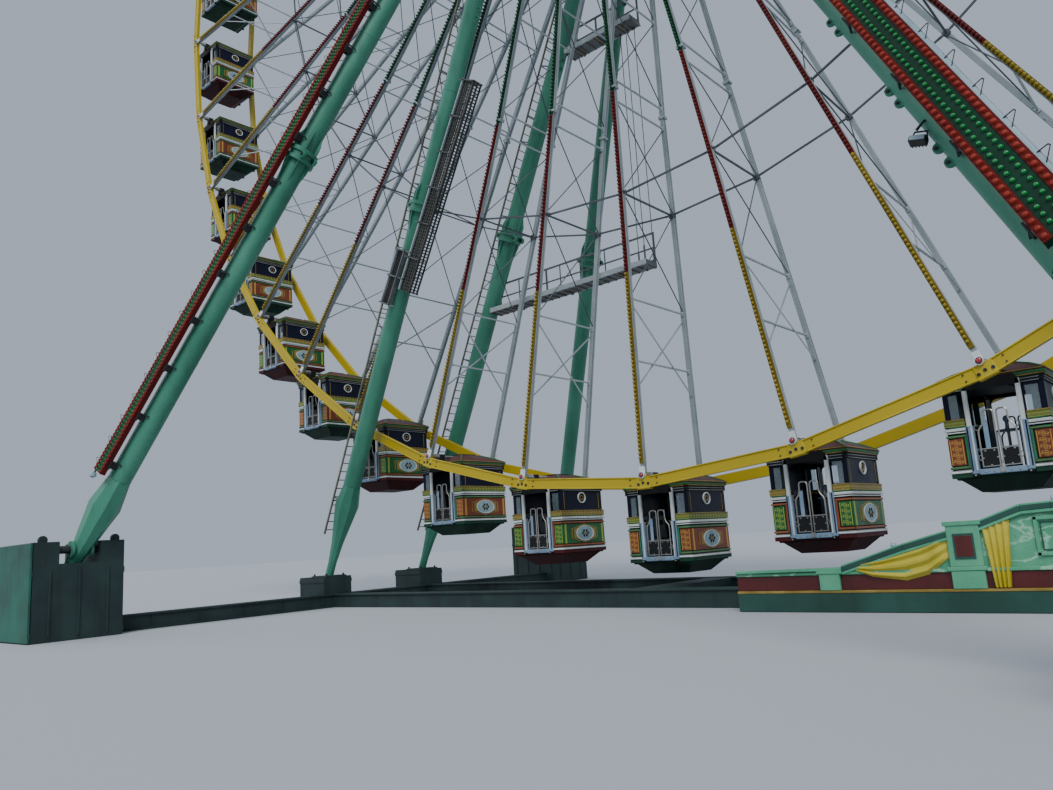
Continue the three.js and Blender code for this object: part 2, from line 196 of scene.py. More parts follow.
def piece(name, source, finishes, body="structure", stands=()):
    mesh = source if isinstance(source, bpy.types.Mesh) else None
    if mesh is None:
        bmesh.ops.transform(source, matrix=Matrix.Scale(m, 4), verts=source.verts)
        bmesh.ops.recalc_face_normals(source, faces=source.faces)
        mesh = meshFrom(source, name)
    mesh.shade_smooth()
    mesh.set_sharp_from_angle(angle=math.radians(30))
    for finish in finishes:
        mesh.materials.append(finish)
    made = bpy.data.objects.new(name, mesh)
    bpy.context.collection.objects.link(made)
    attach(made, body)
    if stands:
        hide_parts(*stands)
    return made


def group(name, inputs, outputs):
    made = bpy.data.node_groups.new(name, "ShaderNodeTree")
    for label, kind, value in inputs:
        made.interface.new_socket(label, in_out="INPUT", socket_type="NodeSocket" + kind).default_value = value
    for label, kind in outputs:
        made.interface.new_socket(label, in_out="OUTPUT", socket_type="NodeSocket" + kind)
    return made, made.nodes.new("NodeGroupInput"), made.nodes.new("NodeGroupOutput")


def math2(tree, op, a, b=None, clamp=False):
    node = tree.nodes.new("ShaderNodeMath")
    node.operation = op
    node.use_clamp = clamp
    for socket, value in zip(node.inputs, (a, b)):
        if value is None:
            continue
        if isinstance(value, (int, float)):
            socket.default_value = value
        else:
            tree.links.new(value, socket)
    return node.outputs[0]


def noise(tree, place, scale, detail=4.0):
    node = tree.nodes.new("ShaderNodeTexNoise")
    node.inputs["Detail"].default_value = detail
    tree.links.new(place, node.inputs["Vector"])
    if isinstance(scale, (int, float)):
        node.inputs["Scale"].default_value = scale
    else:
        tree.links.new(scale, node.inputs["Scale"])
    return node.outputs["Fac"]


def spread(tree, value, low, high, out0=0.0, out1=1.0):
    node = tree.nodes.new("ShaderNodeMapRange")
    for label, number in (("From Min", low), ("From Max", high), ("To Min", out0), ("To Max", out1)):
        node.inputs[label].default_value = number
    tree.links.new(value, node.inputs["Value"])
    return node.outputs["Result"]


def blendColour(tree, mask, a, b):
    node = tree.nodes.new("ShaderNodeMix")
    node.data_type = "RGBA"
    tree.links.new(mask, node.inputs[0])
    for socket, value in ((node.inputs[6], a), (node.inputs[7], b)):
        if isinstance(value, tuple):
            socket.default_value = value
        else:
            tree.links.new(value, socket)
    return node.outputs[2]


def objectPlace(tree, scale=(1, 1, 1)):
    coords = tree.nodes.new("ShaderNodeTexCoord")
    mapping = tree.nodes.new("ShaderNodeMapping")
    mapping.inputs["Scale"].default_value = scale
    tree.links.new(coords.outputs["Object"], mapping.inputs["Vector"])
    return mapping.outputs["Vector"]


def makeWeathering():  # faded patches and dark runs of dirt down the paint
    tree, source, out = group(
        "weathering",
        [("Paint", "Color", (1, 1, 1, 1)), ("Faded", "Color", (1, 1, 1, 1)), ("Grime", "Color", (0, 0, 0, 1)),
         ("Patch", "Float", 1.5), ("Run", "Float", 0.5)],
        [("Colour", "Color"), ("Worn", "Float")])
    op = partial(math2, tree)
    patches = spread(tree, noise(tree, objectPlace(tree), source.outputs["Patch"], 6), 0.38, 0.68)
    runs = spread(tree, noise(tree, objectPlace(tree, (7, 7, 0.7)), 1.0, 5), 0.52, 0.78)
    specks = spread(tree, noise(tree, objectPlace(tree), 46.0, 3), 0.6, 0.74)
    dirt = op("MULTIPLY", op("MAXIMUM", runs, specks), source.outputs["Run"], True)
    faded = blendColour(tree, patches, source.outputs["Paint"], source.outputs["Faded"])
    tree.links.new(blendColour(tree, dirt, faded, source.outputs["Grime"]), out.inputs["Colour"])
    tree.links.new(op("MAXIMUM", dirt, op("MULTIPLY", patches, 0.35)), out.inputs["Worn"])
    return tree


def makeGrain():  # brushed-on unevenness of the paint film
    tree, source, out = group("grain", [("Size", "Float", 60.0)], [("Height", "Float")])
    op = partial(math2, tree)
    fine = noise(tree, objectPlace(tree), source.outputs["Size"], 3)
    broad = noise(tree, objectPlace(tree), 3.0, 2)
    tree.links.new(op("ADD", fine, broad), out.inputs["Height"])
    return tree


def makeRosettes():  # a row of four-petalled flowers between two lines, on a piece's own UV map
    tree, source, out = group("rosettes", [("Repeat", "Float", 1.0)], [("Mask", "Float")])
    op = partial(math2, tree)
    uv = tree.nodes.new("ShaderNodeUVMap")
    uv.uv_map = "panel"
    parts = tree.nodes.new("ShaderNodeSeparateXYZ")
    tree.links.new(uv.outputs["UV"], parts.inputs[0])
    u = op("SUBTRACT", parts.outputs["X"], 0.5)
    row = op("MULTIPLY", parts.outputs["Y"], source.outputs["Repeat"])
    v = op("SUBTRACT", op("FRACT", row), 0.5)
    far = op("SQRT", op("ADD", op("MULTIPLY", u, u), op("MULTIPLY", v, v)))
    turn = op("ARCTAN2", v, u)
    petal = op("MULTIPLY", op("COSINE", op("MULTIPLY", turn, 4.0)), 0.09)
    gap = op("ABSOLUTE", op("SUBTRACT", far, op("ADD", petal, 0.25)))
    flower = spread(tree, gap, 0.03, 0.055, 1.0, 0.0)
    heart = spread(tree, far, 0.07, 0.1, 1.0, 0.0)
    edge = spread(tree, op("ABSOLUTE", u), 0.42, 0.45)
    scroll = op("MULTIPLY", op("SINE", op("MULTIPLY", row, 2 * math.pi)), 0.3)
    vine = spread(tree, op("ABSOLUTE", op("SUBTRACT", u, scroll)), 0.02, 0.045, 1.0, 0.0)
    mask = op("MAXIMUM", op("MAXIMUM", flower, heart), op("MAXIMUM", edge, vine))
    tree.links.new(mask, out.inputs["Mask"])
    return tree


def makeWheelZones():  # the rim beams are yellow and the flanges green, on the two wheel frames
    tree, source, out = group(
        "wheelZones",
        [("Spoke", "Color", (1, 1, 1, 1)), ("Rim", "Color", (1, 1, 0, 1)), ("Hub", "Color", (0, 1, 0, 1))],
        [("Colour", "Color")])
    op = partial(math2, tree)
    parts = tree.nodes.new("ShaderNodeSeparateXYZ")
    tree.links.new(objectPlace(tree), parts.inputs[0])
    up = op("SUBTRACT", parts.outputs["Z"], wheel["hubHeight"] * m)
    far = op("SQRT", op("ADD", op("MULTIPLY", parts.outputs["X"], parts.outputs["X"]),
                                    op("MULTIPLY", up, up)))
    inner = op("LESS_THAN", far, (wheel["flange"] + 0.02) * m)
    outer = op("GREATER_THAN", far, (wheel["radius"] - 0.03) * m)
    base = blendColour(tree, inner, source.outputs["Spoke"], source.outputs["Hub"])
    tree.links.new(blendColour(tree, outer, base, source.outputs["Rim"]), out.inputs["Colour"])
    return tree


def makeMarble():  # pale veins drawn through a painted panel
    tree, source, out = group("marble", [("Size", "Float", 3.0)], [("Veins", "Float")])
    op = partial(math2, tree)
    bend = noise(tree, objectPlace(tree, (1, 1, 2)), source.outputs["Size"], 6)
    line = op("ABSOLUTE", op("SUBTRACT", bend, 0.5))
    tree.links.new(spread(tree, line, 0.0, 0.035, 0.75, 0.0), out.inputs["Veins"])
    return tree


def makeTread():  # crossed raised bars of a tread plate
    tree, source, out = group("tread", [("Size", "Float", 26.0)], [("Height", "Float")])
    op = partial(math2, tree)
    parts = tree.nodes.new("ShaderNodeSeparateXYZ")
    tree.links.new(objectPlace(tree), parts.inputs[0])
    a = op("MULTIPLY", op("ADD", parts.outputs["X"], parts.outputs["Y"]), source.outputs["Size"])
    b = op("MULTIPLY", op("SUBTRACT", parts.outputs["X"], parts.outputs["Y"]), source.outputs["Size"])
    bars = op("MULTIPLY", op("SINE", a), op("SINE", b))
    tree.links.new(spread(tree, op("ABSOLUTE", bars), 0.5, 0.8), out.inputs["Height"])
    return tree


weathering, grain, rosettes = makeWeathering(), makeGrain(), makeRosettes()
wheelZones, marble, tread = makeWheelZones(), makeMarble(), makeTread()


def rgb(code, gain=1.0):  # a colour as written in a paint list, made linear
    parts = [int(code[i:i + 2], 16) / 255 for i in (0, 2, 4)]
    return (*[min(1, gain * (c / 12.92 if c < 0.04045 else ((c + 0.055) / 1.055) ** 2.4)) for c in parts], 1)


def place(tree, source, **values):
    node = tree.nodes.new("ShaderNodeGroup")
    node.node_tree = source
    for label, value in values.items():
        if isinstance(value, (int, float, tuple)):
            node.inputs[label].default_value = value
        else:
            tree.links.new(value, node.inputs[label])
    return node


def finish(name, colour, faded=None, grime="2a2a26", rough=0.45, metal=0.0, patch=1.6, run=0.35, size=70.0,
           bump=0.08, coat=0.0, shine=0.5, pattern=None):
    made = bpy.data.materials.new(name)
    made.use_nodes = True
    tree = made.node_tree
    shader = tree.nodes["Principled BSDF"]
    shader.inputs["Metallic"].default_value = metal
    shader.inputs["Coat Weight"].default_value = coat
    shader.inputs["Specular IOR Level"].default_value = shine
    worn = place(tree, weathering, Paint=rgb(colour), Faded=rgb(faded or colour), Grime=rgb(grime),
                 Patch=patch, Run=run)
    shade = worn.outputs["Colour"]
    height = place(tree, grain, Size=size).outputs["Height"]
    if pattern:
        shade, height = pattern(tree, shade, height)
    tree.links.new(shade, shader.inputs["Base Color"])
    dull = spread(tree, worn.outputs["Worn"], 0, 1, rough, min(1, rough + 0.3))
    tree.links.new(dull, shader.inputs["Roughness"])
    lift = tree.nodes.new("ShaderNodeBump")
    lift.inputs["Strength"].default_value = bump
    lift.inputs["Distance"].default_value = 0.01
    tree.links.new(height, lift.inputs["Height"])
    tree.links.new(lift.outputs["Normal"], shader.inputs["Normal"])
    return made


def rosettePattern(ink, repeat):
    def apply(tree, shade, height):
        mask = place(tree, rosettes, Repeat=repeat).outputs["Mask"]
        return blendColour(tree, mask, shade, rgb(ink)), math2(tree, "ADD", height, mask)
    return apply


def zonePattern(tree, shade, height):
    zones = place(tree, wheelZones, Spoke=shade, Rim=rgb("b79f10"), Hub=rgb("33806a"))
    return zones.outputs["Colour"], height


def marblePattern(tree, shade, height):
    veins = place(tree, marble, Size=3.2).outputs["Veins"]
    return blendColour(tree, veins, shade, rgb("a9d8bb")), height


def treadPattern(tree, shade, height):
    return shade, math2(tree, "ADD", height, place(tree, tread, Size=52.0).outputs["Height"])


turquoise = finish("turquoisePaint", "2f785f", "479177", "22362f", 0.42, patch=0.7, run=0.3)
wheelPaint = finish("wheelPaint", "828e91", "98a2a4", "515756", 0.45, 0.1, run=0.12, pattern=zonePattern)
greySteel = finish("greySteel", "a3adb0", "b9c1c3", "62635f", 0.42, 0.3, run=0.15)
darkRod = finish("darkRod", "4a4f55", "63686d", "2b2a28", 0.5, 0.35)
galvanised = finish("galvanised", "64676a", "7d8184", "3b3a37", 0.5, 0.7, patch=5)
weatheredSteel = finish("weatheredSteel", "6d685c", "8a8474", "3b352b", 0.62, 0.35, patch=4, run=0.6)
# dark steel for the folded deck's slots, partly the steel's own colour and partly painted shade
deckSteelAndShade = finish("deckSteelAndShade", "45423e", "57544e", "262421", 0.6, 0.4, run=0.3)
darkSteel = finish("darkSteel", "2b2e30", "3d4143", "191817", 0.5, 0.5)
sheetPaint = finish("sheetPaint", "124c3e", "1e6b57", "0d2a23", 0.5, patch=2.2, run=0.5)
blockPaint = finish("blockPaint", "16292a", "213836", "0e1312", 0.6, patch=2.5, run=0.5)
rimYellow = finish("rimYellow", "b79f10", "c6b02a", "463f1a", 0.42, run=0.3)
stripGreen = finish("stripGreen", "032b1a", "063a25", "04120b", 0.5, shine=0.2)
stripRed = finish("stripRed", "560a09", "66120e", "230705", 0.5, shine=0.2)
stripYellow = finish("stripYellow", "6c5a0d", "7b6817", "3b2e0a", 0.5, shine=0.2)
lampGreen = finish("lampGreen", "0d7a37", "188e46", "072a16", 0.25, coat=0.15, run=0.1)
lampRed = finish("lampRed", "842417", "963222", "300d08", 0.45, shine=0.25, run=0.1)
spokeYellow = finish("spokeLampYellow", "98831f", "aa9432", "3f350f", 0.4, coat=0.1, run=0.1)
spokeRed = finish("spokeLampRed", "5c1410", "6e1d17", "260806", 0.4, coat=0.1, run=0.1)
spokeGreen = finish("spokeLampGreen", "0b5229", "136137", "052013", 0.35, coat=0.1, run=0.1)
lensRed = finish("lensRed", "a01730", "b52a42", "3d0a14", 0.12, coat=0.8, run=0.05)
edgeBlue = finish("edgeBlue", "93abb6", "a9bdc6", "5a666b", 0.45)
blackCase = finish("blackCase", "17191a", "26292a", "101010", 0.4)
fasciaGreen = finish("fasciaGreen", "4a9670", "5fa883", "2f5a46", 0.4, patch=3, pattern=marblePattern)
fasciaPlain = finish("fasciaPlain", "509e78", "64ad88", "356049", 0.4, patch=3)
fasciaDark = finish("fasciaDark", "1c4237", "27554a", "0e1f1a", 0.42)
fasciaRed = finish("fasciaRed", "4a1414", "5c1d1b", "200a0a", 0.4)
drapeYellow = finish("drapeYellow", "b9aa2b", "cabc44", "8a7a22", 0.5, patch=4, run=0.25)
deckPlate = finish("deckPlate", "8d949a", "a2a8ad", "5b5e60", 0.42, 0.55, bump=0.3, pattern=treadPattern)
print("finishes made")

cabin = {
    "halfX": 0.91, "halfY": 0.96, "wall": 0.07, "ceiling": -0.4, "waist": -1.16,
    "floor": -2.08, "base": -2.18, "hopper": -2.5, "doorHalf": 0.42, "shaftHalf": 1.34,
    "benchHigh": 0.45, "benchDeep": 0.42, "gateTop": -0.9, "gateRadius": 0.018,
    "gateClips": [(0.1, -1.71), (0.26, -1.71), (0.18, -1.995), (0.055, -1.85), (0.31, -1.85)],
}
cabinShared = [
    finish("cabinGold", "947b36", "ad9450", "4b3b16", 0.35, 0.35, patch=6),
    finish("cabinWhite", "c9cfcd", "dadfdd", "72746f", 0.4, patch=5),
    finish("cabinNavy", "080c22", "0d1330", "040509", 0.35, patch=4, run=0.15, shine=0.2),
    # the roof's dark red is partly its paint and partly painted shade, darker than the paint for roofs that sit in
    # shade
    finish("roofRedAndPaintedShade", "451713", "58241b", "1a0908", 0.5, patch=3, run=0.4, shine=0.3),
    finish("trimGreen", "1d6b3c", "2d8250", "0c2a18", 0.4, patch=5),
    finish("doorBlue", "7089a2", "839ab0", "3e4a55", 0.4, patch=5),
    finish("cabinSteel", "9b9a94", "b5b4ae", "4f4d48", 0.32, 0.7),
    finish("seatGrey", "7f868a", "959b9e", "3f4345", 0.55, patch=5),
    # near-black for the floor, hood, eave and other dark fittings; on the wall behind the bands and panels it also
    # paints the shadow in the thin gaps between them
    finish("darkPaintAndGapShade", "111315", "1a1c1e", "090a0a", 0.6, shine=0.3),
    finish("curtainTeal", "1f5a50", "2d6d61", "0e2a25", 0.7, size=160.0, bump=0.2),
]
glass = bpy.data.materials.new("cabinGlass")
glass.use_nodes = True
glassShader = glass.node_tree.nodes["Principled BSDF"]
glassShader.inputs["Base Color"].default_value = (0.62, 0.72, 0.78, 1)
glassShader.inputs["Roughness"].default_value = 0.05
glassShader.inputs["Transmission Weight"].default_value = 0.85
glassShader.inputs["Coat Weight"].default_value = 0.3
cabinShared.append(glass)
# places in the list of finishes that cabinColours() returns
gold, white, navy, roofRedAndPaintedShade, trimGreen, doorBlue, steel, seatGrey, maroon, darkPaintAndGapShade, teal, skirt, pane = range(2, 15)
panelColour, frameColour, goldBand, panelScroll, medallion = 0, 1, 15, 16, 17
cabin["ovals"] = [  # height, place, width by height, inner and outer radius, depth, steps, finish
    (-1.68, -0.03, 1.9, 0.195, 0.215, 0.02, 20, white), (-0.66, 0.01, 1.15, 0.13, 0.155, 0.03, 20, white),
    (-0.66, 0.01, 1.15, 0.06, 0.08, 0.016, 6, gold),
]
cabin["shields"] = [  # half width, half height, depth, finish of the six-sided fields round the lower oval
    (0.6, 0.265, 0.03, gold), (0.565, 0.245, 0.033, panelColour), (0.5, 0.225, 0.038, gold),
]
cabin["plates"] = [  # past the walls, from z, to z, finish, bevel
    (-0.02, cabin["base"], cabin["floor"], darkPaintAndGapShade, 0), (0.07, -0.31, -0.225, trimGreen, 0.02),
    (-0.02, cabin["ceiling"], cabin["ceiling"] + 0.03, darkPaintAndGapShade, 0), (0.085, -0.235, -0.215, gold, 0.006),
    (0.078, -0.262, -0.248, roofRedAndPaintedShade, 0),
]
cabin["hips"] = [(-0.02, -2.16, -2.24, 0.97, maroon), (-0.06, -2.2, cabin["hopper"], 0.62, maroon),
                 (0.06, -0.22, -0.08, 0.72, roofRedAndPaintedShade)]


def uvBox(bm, a, b, mat, across, up):  # a thin plate whose own UV map runs across and up it
    layer = bm.loops.layers.uv.get("panel") or bm.loops.layers.uv.new("panel")
    low, high = (Vector(map(pick, a, b)) for pick in (min, max))
    size = high - low
    for f in faceOf(box(bm, low, high, mat)):
        for loop in f.loops:
            at = loop.vert.co - low
            loop[layer].uv = (at[across] / size[across], at[up] / size[up])


def slab(bm, outline, y0, y1, mat=0, turn=Matrix()):  # an outline of x, z points, from one y to another
    face = bm.faces.new([bm.verts.new(turn @ Vector((x, y0, z))) for x, z in outline])
    grown = bmesh.ops.extrude_face_region(bm, geom=[face])["geom"]
    moved = [v for v in grown if isinstance(v, bmesh.types.BMVert)]
    bmesh.ops.translate(bm, verts=moved, vec=turn.to_3x3() @ Vector((0, y1 - y0, 0)))
    paintFaces(moved, mat)
    face.material_index = mat


def gateLeaf(bm, side, y):  # a bent tube, wide below the waist and narrow above it
    near, far, high, top, foot, r = 0.03, 0.335, 0.22, cabin["gateTop"], -2.02, 0.06
    turn = (0.52, 1.05, 1.57)
    line = [(far, foot), (far, -1.34), (far - 0.02, -1.27), (high + 0.03, -1.19), (high, -1.1), (high, top - r)]
    line += [(high - r * (1 - math.cos(t)), top - r * (1 - math.sin(t))) for t in turn]
    line += [(near + r * (1 - math.sin(t)), top - r * (1 - math.cos(t))) for t in (0, *turn)]
    line += [(near, foot)]
    tube(bm, [(side * x, y, z) for x, z in line], cabin["gateRadius"], steel, True)
    rod(bm, (side * near, y, -1.67), (side * far, y, -1.67), 0.015, steel)
    box(bm, (side * near, y - 0.004, -2.01), (side * far, y + 0.01, -1.69), darkPaintAndGapShade)
    for x, z in cabin["gateClips"]:
        box(bm, (side * x - 0.014, y - 0.016, z - 0.012), (side * x + 0.014, y, z + 0.012), steel)
    for z in (-1.3, -1.9):  # the hinge loops
        loop = ((far, 0, 0), (0.39, 0.01, 0.03), (0.39, 0.01, 0.1), (far, 0, 0.12))
        tube(bm, [(side * x, y - d, z + h) for x, d, h in loop], 0.011, steel, sides=0)


bandRows = [  # from y, to y, from z, to z, finish, bevel, above and below the panels
    (-0.045, 0.05, -1.04, -1.02, gold), (-0.03, 0.05, -1.185, -1.165, trimGreen),
    (-0.045, 0.02, -1.26, -1.2, white, 0.01), (-0.035, 0.02, -1.3, -1.28, white),
    (-0.03, 0, -1.39, -1.34, frameColour, 0.008), (-0.036, 0, -1.369, -1.361, gold),
    (-0.03, 0, -2.02, -1.97, frameColour, 0.008), (-0.036, 0, -1.999, -1.991, gold),
    (-0.02, 0.02, -2.06, -2.045, steel), (-0.045, 0.02, -2.11, -2.065, white, 0.01),
    (-0.02, 0.05, -2.2, -2.11, skirt),
]
eaveRows = [(-0.02, 0.06, -0.46, -0.34, darkPaintAndGapShade), (-0.03, 0, -0.455, -0.441, seatGrey),
            (-0.03, 0, -0.395, -0.381, seatGrey)]
doorRows = [  # middle and half width, from y, to y, from z, to z, finish, bevel
    (0.58, 0.025, -0.03, 0, -2.0, -1.36, frameColour, 0.008), (0.48, 0.045, -0.075, 0, -1.2, -0.36, white, 0.015),
    (0.54, 0.015, -0.01, 0.05, -1.2, -0.42, navy), (0.48, 0.07, -0.07, 0.07, -2.16, -1.17, doorBlue, 0.025),
    (0.445, 0.015, -0.082, -0.05, -2.08, -1.2, white, 0.006), (0.52, 0.012, -0.08, -0.05, -2.08, -1.2, navy, 0.006),
    (0.48, 0.05, -0.1, 0.02, -2.2, -2.14, darkPaintAndGapShade, 0.01),
]


def runs(bm, rows, x0, x1, y):  # strips that run along a side of the cabin
    for y0, y1, z0, z1, *look in rows:
        box(bm, (x0, y + y0, z0), (x1, y + y1, z1), *look)


def doorSideHalf(bm, side):  # a panel, a window and a door post, with the gate leaf
    x, y, w = cabin["halfX"], -cabin["halfY"], cabin["wall"]
    lo, hi, end = side * (cabin["doorHalf"] + 0.13), side * (x - 0.005), side * (x + 0.03)
    runs(bm, bandRows, lo, end, y)
    uvBox(bm, (lo, y - 0.035, -1.16), (end, y + 0.05, -1.03), goldBand, 2, 0)
    runs(bm, eaveRows, side * 0.53, end, y)
    # the near-black wall shows only in the thin gaps between bands and panels, as painted shadow
    box(bm, (lo, y, cabin["base"] + 0.02), (hi, y + w, cabin["waist"] + 0.04), darkPaintAndGapShade)
    box(bm, (side * 0.63, y - 0.018, -1.95), (side * (x + 0.006), y, -1.41), panelColour, 0.004)
    uvBox(bm, (side * 0.645, y - 0.024, -1.93), (side * (x - 0.015), y - 0.01, -1.43), panelScroll, 0, 2)
    near, far = sorted((lo, hi))
    box(bm, (near + 0.03, y + 0.02, -1.02), (far - 0.1, y + 0.028, -0.46), pane)
    box(bm, (lo, y + 0.01, -0.52), (hi, y + 0.05, -0.45), navy)
    for at, half, y0, y1, z0, z1, *look in doorRows:
        box(bm, (side * at - half, y + y0, z0), (side * at + half, y + y1, z1), *look)
    rod(bm, (side * 0.48, y - 0.115, -2.17), (side * 0.48, y - 0.09, -2.17), 0.018, steel, 8)
    gateLeaf(bm, side, y - 0.03)
    corner = [(0.44, -0.44), (0.44, -0.6)]
    corner += [(0.31 + 0.12 * math.cos(t), -0.6 + 0.12 * math.sin(t)) for t in (0, 0.4, 0.8, 1.2, 1.57)]
    slab(bm, [(side * a, z) for a, z in (*corner, (0.31, -0.44))], y, y + 0.04, darkPaintAndGapShade)


def cabinFace():  # one door side, looking along +Y from outside
    bm = bmesh.new()
    x, y = cabin["halfX"], -cabin["halfY"]
    for side in (-1, 1):
        doorSideHalf(bm, side)
    box(bm, (-0.24, y - 0.036, -1.66), (-0.15, y - 0.026, -1.1), doorBlue, 0.004)
    box(bm, (-0.42, y - 0.06, -2.17), (0.42, y + 0.12, -2.06), doorBlue, 0.012)
    box(bm, (-0.05, y - 0.075, -2.15), (0.05, y - 0.05, -2.04), steel, 0.006)
    for k in (-0.3, -0.15, 0.15, 0.3):
        rod(bm, (k, y - 0.075, -2.115), (k, y - 0.05, -2.115), 0.014, steel)
    arch = [(0.52 * math.cos(t), -0.47 + 0.36 * math.sin(t)) for t in [math.pi * k / 12 for k in range(13)]]
    slab(bm, arch, y - 0.075, y + 0.03, darkPaintAndGapShade)  # the dark round-topped hood over the door
    box(bm, (-x - 0.05, y - 0.05, -0.34), (x + 0.05, y + 0.06, -0.31), gold, 0.008)
    return meshFrom(bm)


def oval(bm, z, y, wide, profile, steps, mat):  # a turned shape on a side, wide times as wide as high
    turned(bm, profile, Matrix.Translation((0, y, z)) @ Matrix.Rotation(math.pi / 2, 4, "X")
           @ Matrix.Diagonal((wide, 1, 1, 1)), steps, mat)


def cabinSide():  # the closed side, built as a front and turned by the caller
    bm = bmesh.new()
    half, y, w = cabin["halfY"], -cabin["halfX"], cabin["wall"]
    # the near-black wall shows only in the thin gaps between bands and panels, as painted shadow
    box(bm, (-half, y, cabin["base"] + 0.02), (half, y + w, cabin["waist"] + 0.04), darkPaintAndGapShade)
    runs(bm, bandRows, -half - 0.03, half + 0.03, y)
    uvBox(bm, (-half - 0.03, y - 0.035, -1.16), (half + 0.03, y + 0.05, -1.03), goldBand, 2, 0)
    runs(bm, eaveRows, -half - 0.03, half + 0.03, y)
    box(bm, (-half - 0.006, y - 0.018, -1.95), (half + 0.006, y - 0.002, -1.41), panelColour, 0.004)
    for wide, high, out, mat in cabin["shields"]:
        low = 0.54 * high
        outline = [(0, -high), (wide, -low), (wide, low), (0, high), (-wide, low), (-wide, -low)]
        slab(bm, [(a, z - 1.68) for a, z in outline], y - out, y - 0.01, mat)
    dish = [(0.0, 0.018), (0.12, 0.018), (0.2, 0.012), (0.2, 0.0), (0.0, 0.0)]
    oval(bm, -1.68, y - 0.03, 1.9, dish, 20, medallion)
    for z, out, wide, r0, r1, high, steps, mat in cabin["ovals"]:
        oval(bm, z, y + out, wide, [(r1, 0.0), (r1, high), (r0, high), (r0, 0.0), (r1, 0.0)], steps, mat)
    for k in range(6):  # plain petals in the oval
        t = k * math.pi / 3
        ball(bm, (0.12 * math.cos(t), y - 0.05, -1.68 + 0.08 * math.sin(t)), 0.045, navy, 0.35, (0, -1, 0))
    ball(bm, (0, y - 0.052, -1.68), 0.05, gold, 0.5, (0, -1, 0))
    box(bm, (-half + 0.05, y + 0.01, -1.03), (half - 0.05, y + 0.05, -0.45), navy)
    for a in (-1, 1):
        box(bm, (a * 0.86 - 0.035, y - 0.022, -1.945), (a * 0.86 + 0.035, y - 0.01, -1.415), panelScroll)
        edge = a * (half - 0.15)
        box(bm, (edge - 0.008, y, -0.98), (edge + 0.008, y + 0.02, -0.5), gold)
        edge = a * (half - 0.06)
        box(bm, (edge - 0.06, y - 0.005, -1.1), (edge + 0.06, y + 0.1, -0.42), navy, 0.012)
    box(bm, (-half - 0.05, y - 0.05, -0.34), (half + 0.05, y + 0.06, -0.31), gold, 0.008)
    return meshFrom(bm)


def hipRoof(bm, halfX, halfY, z0, z1, share, mat):  # share is the top's size by the foot's
    place = Matrix.Translation((0, 0, (z0 + z1) / 2)) @ Matrix.Diagonal((halfX, halfY, z1 - z0, 1))
    made = bmesh.ops.create_cone(bm, cap_ends=True, segments=4, radius1=math.sqrt(2), radius2=share * math.sqrt(2),
                                 depth=1, matrix=place @ Matrix.Rotation(math.pi / 4, 4, "Z"))
    paintFaces(made["verts"], mat)


def cabinBody():
    bm = bmesh.new()
    c = cabin
    face, side = cabinFace(), cabinSide()
    stamp(bm, face, [Matrix(), Matrix.Rotation(math.pi, 4, "Z")])
    stamp(bm, side, [Matrix.Rotation(a, 4, "Z") for a in (math.pi / 2, -math.pi / 2)])
    for shape in (face, side):
        bpy.data.meshes.remove(shape)
    x, y, low = c["halfX"], c["halfY"], c["floor"]
    for grow, z0, z1, mat, bevel in c["plates"]:
        upright(bm, 0, 0, x + grow, y + grow, z0, z1, mat, bevel)
    for grow, z0, z1, share, mat in c["hips"]:
        hipRoof(bm, x + grow, y + grow, z0, z1, share, mat)
    hipRoof(bm, 0.72 * (x + 0.06), 0.72 * (y + 0.06), -0.085, 0.05, 0.5, roofRedAndPaintedShade)
    upright(bm, 0, 0, 0.3, 0.34, 0.03, 0.085, darkPaintAndGapShade, 0.015)
    rod(bm, (0, -c["shaftHalf"], 0), (0, c["shaftHalf"], 0), 0.045, steel, 10)
    rod(bm, (0, 0, low), (0, 0, -1.05), 0.03, steel, 10)
    ball(bm, (0, 0, -1.03), 0.075, doorBlue, detail=2)
    disc = [(0, 0.02), (0.2, 0.02), (0.23, 0.0), (0.2, -0.02), (0, -0.02)]
    turned(bm, disc, Matrix.Translation((0, 0, -1.27)), 16, doorBlue)
    bench = low + c["benchHigh"]
    for a in (-1, 1):
        rod(bm, (0, a * 1.06, 0), (0, a * 1.24, 0), 0.085, steel, 12)
        box(bm, (-0.09, a * 0.86, -0.24), (0.09, a * 1.1, 0.075), darkPaintAndGapShade, 0.02)
        box(bm, (a * 0.84, -0.74, bench - 0.07), (a * (0.84 - c["benchDeep"]), 0.74, bench), seatGrey, 0.02)
        upright(bm, a * 0.6, 0, 0.04, 0.7, low, bench - 0.06, darkPaintAndGapShade)
        for b in (-1, 1):
            ridge = [(a * (x + 0.05), b * (y + 0.05), -0.215), (a * 0.7, b * 0.735, -0.075),
                     (a * 0.36, b * 0.38, 0.055)]
            for start, end in zip(ridge, ridge[1:]):
                beam(bm, start, end, 0.03, 0.03, trimGreen)
            tilt = Matrix.Translation((a * 0.8, b * 0.38, low + 0.47)) @ Matrix.Rotation(a * 0.12, 4, "Y")
            box(bm, (-0.03, -0.3, 0), (0.03, 0.3, 0.62), seatGrey, 0.02, tilt)
            box(bm, (-0.036, -0.18, 0.36), (0.036, 0.18, 0.5), darkPaintAndGapShade, 0.01, tilt)
            upright(bm, a * 0.72, b * 0.86, 0.06, 0.01, -1.02, -0.46, teal, 0.008)
    bmesh.ops.transform(bm, matrix=Matrix.Scale(m, 4), verts=bm.verts)
    bmesh.ops.recalc_face_normals(bm, faces=bm.faces)
    return meshFrom(bm, "cabinShape")


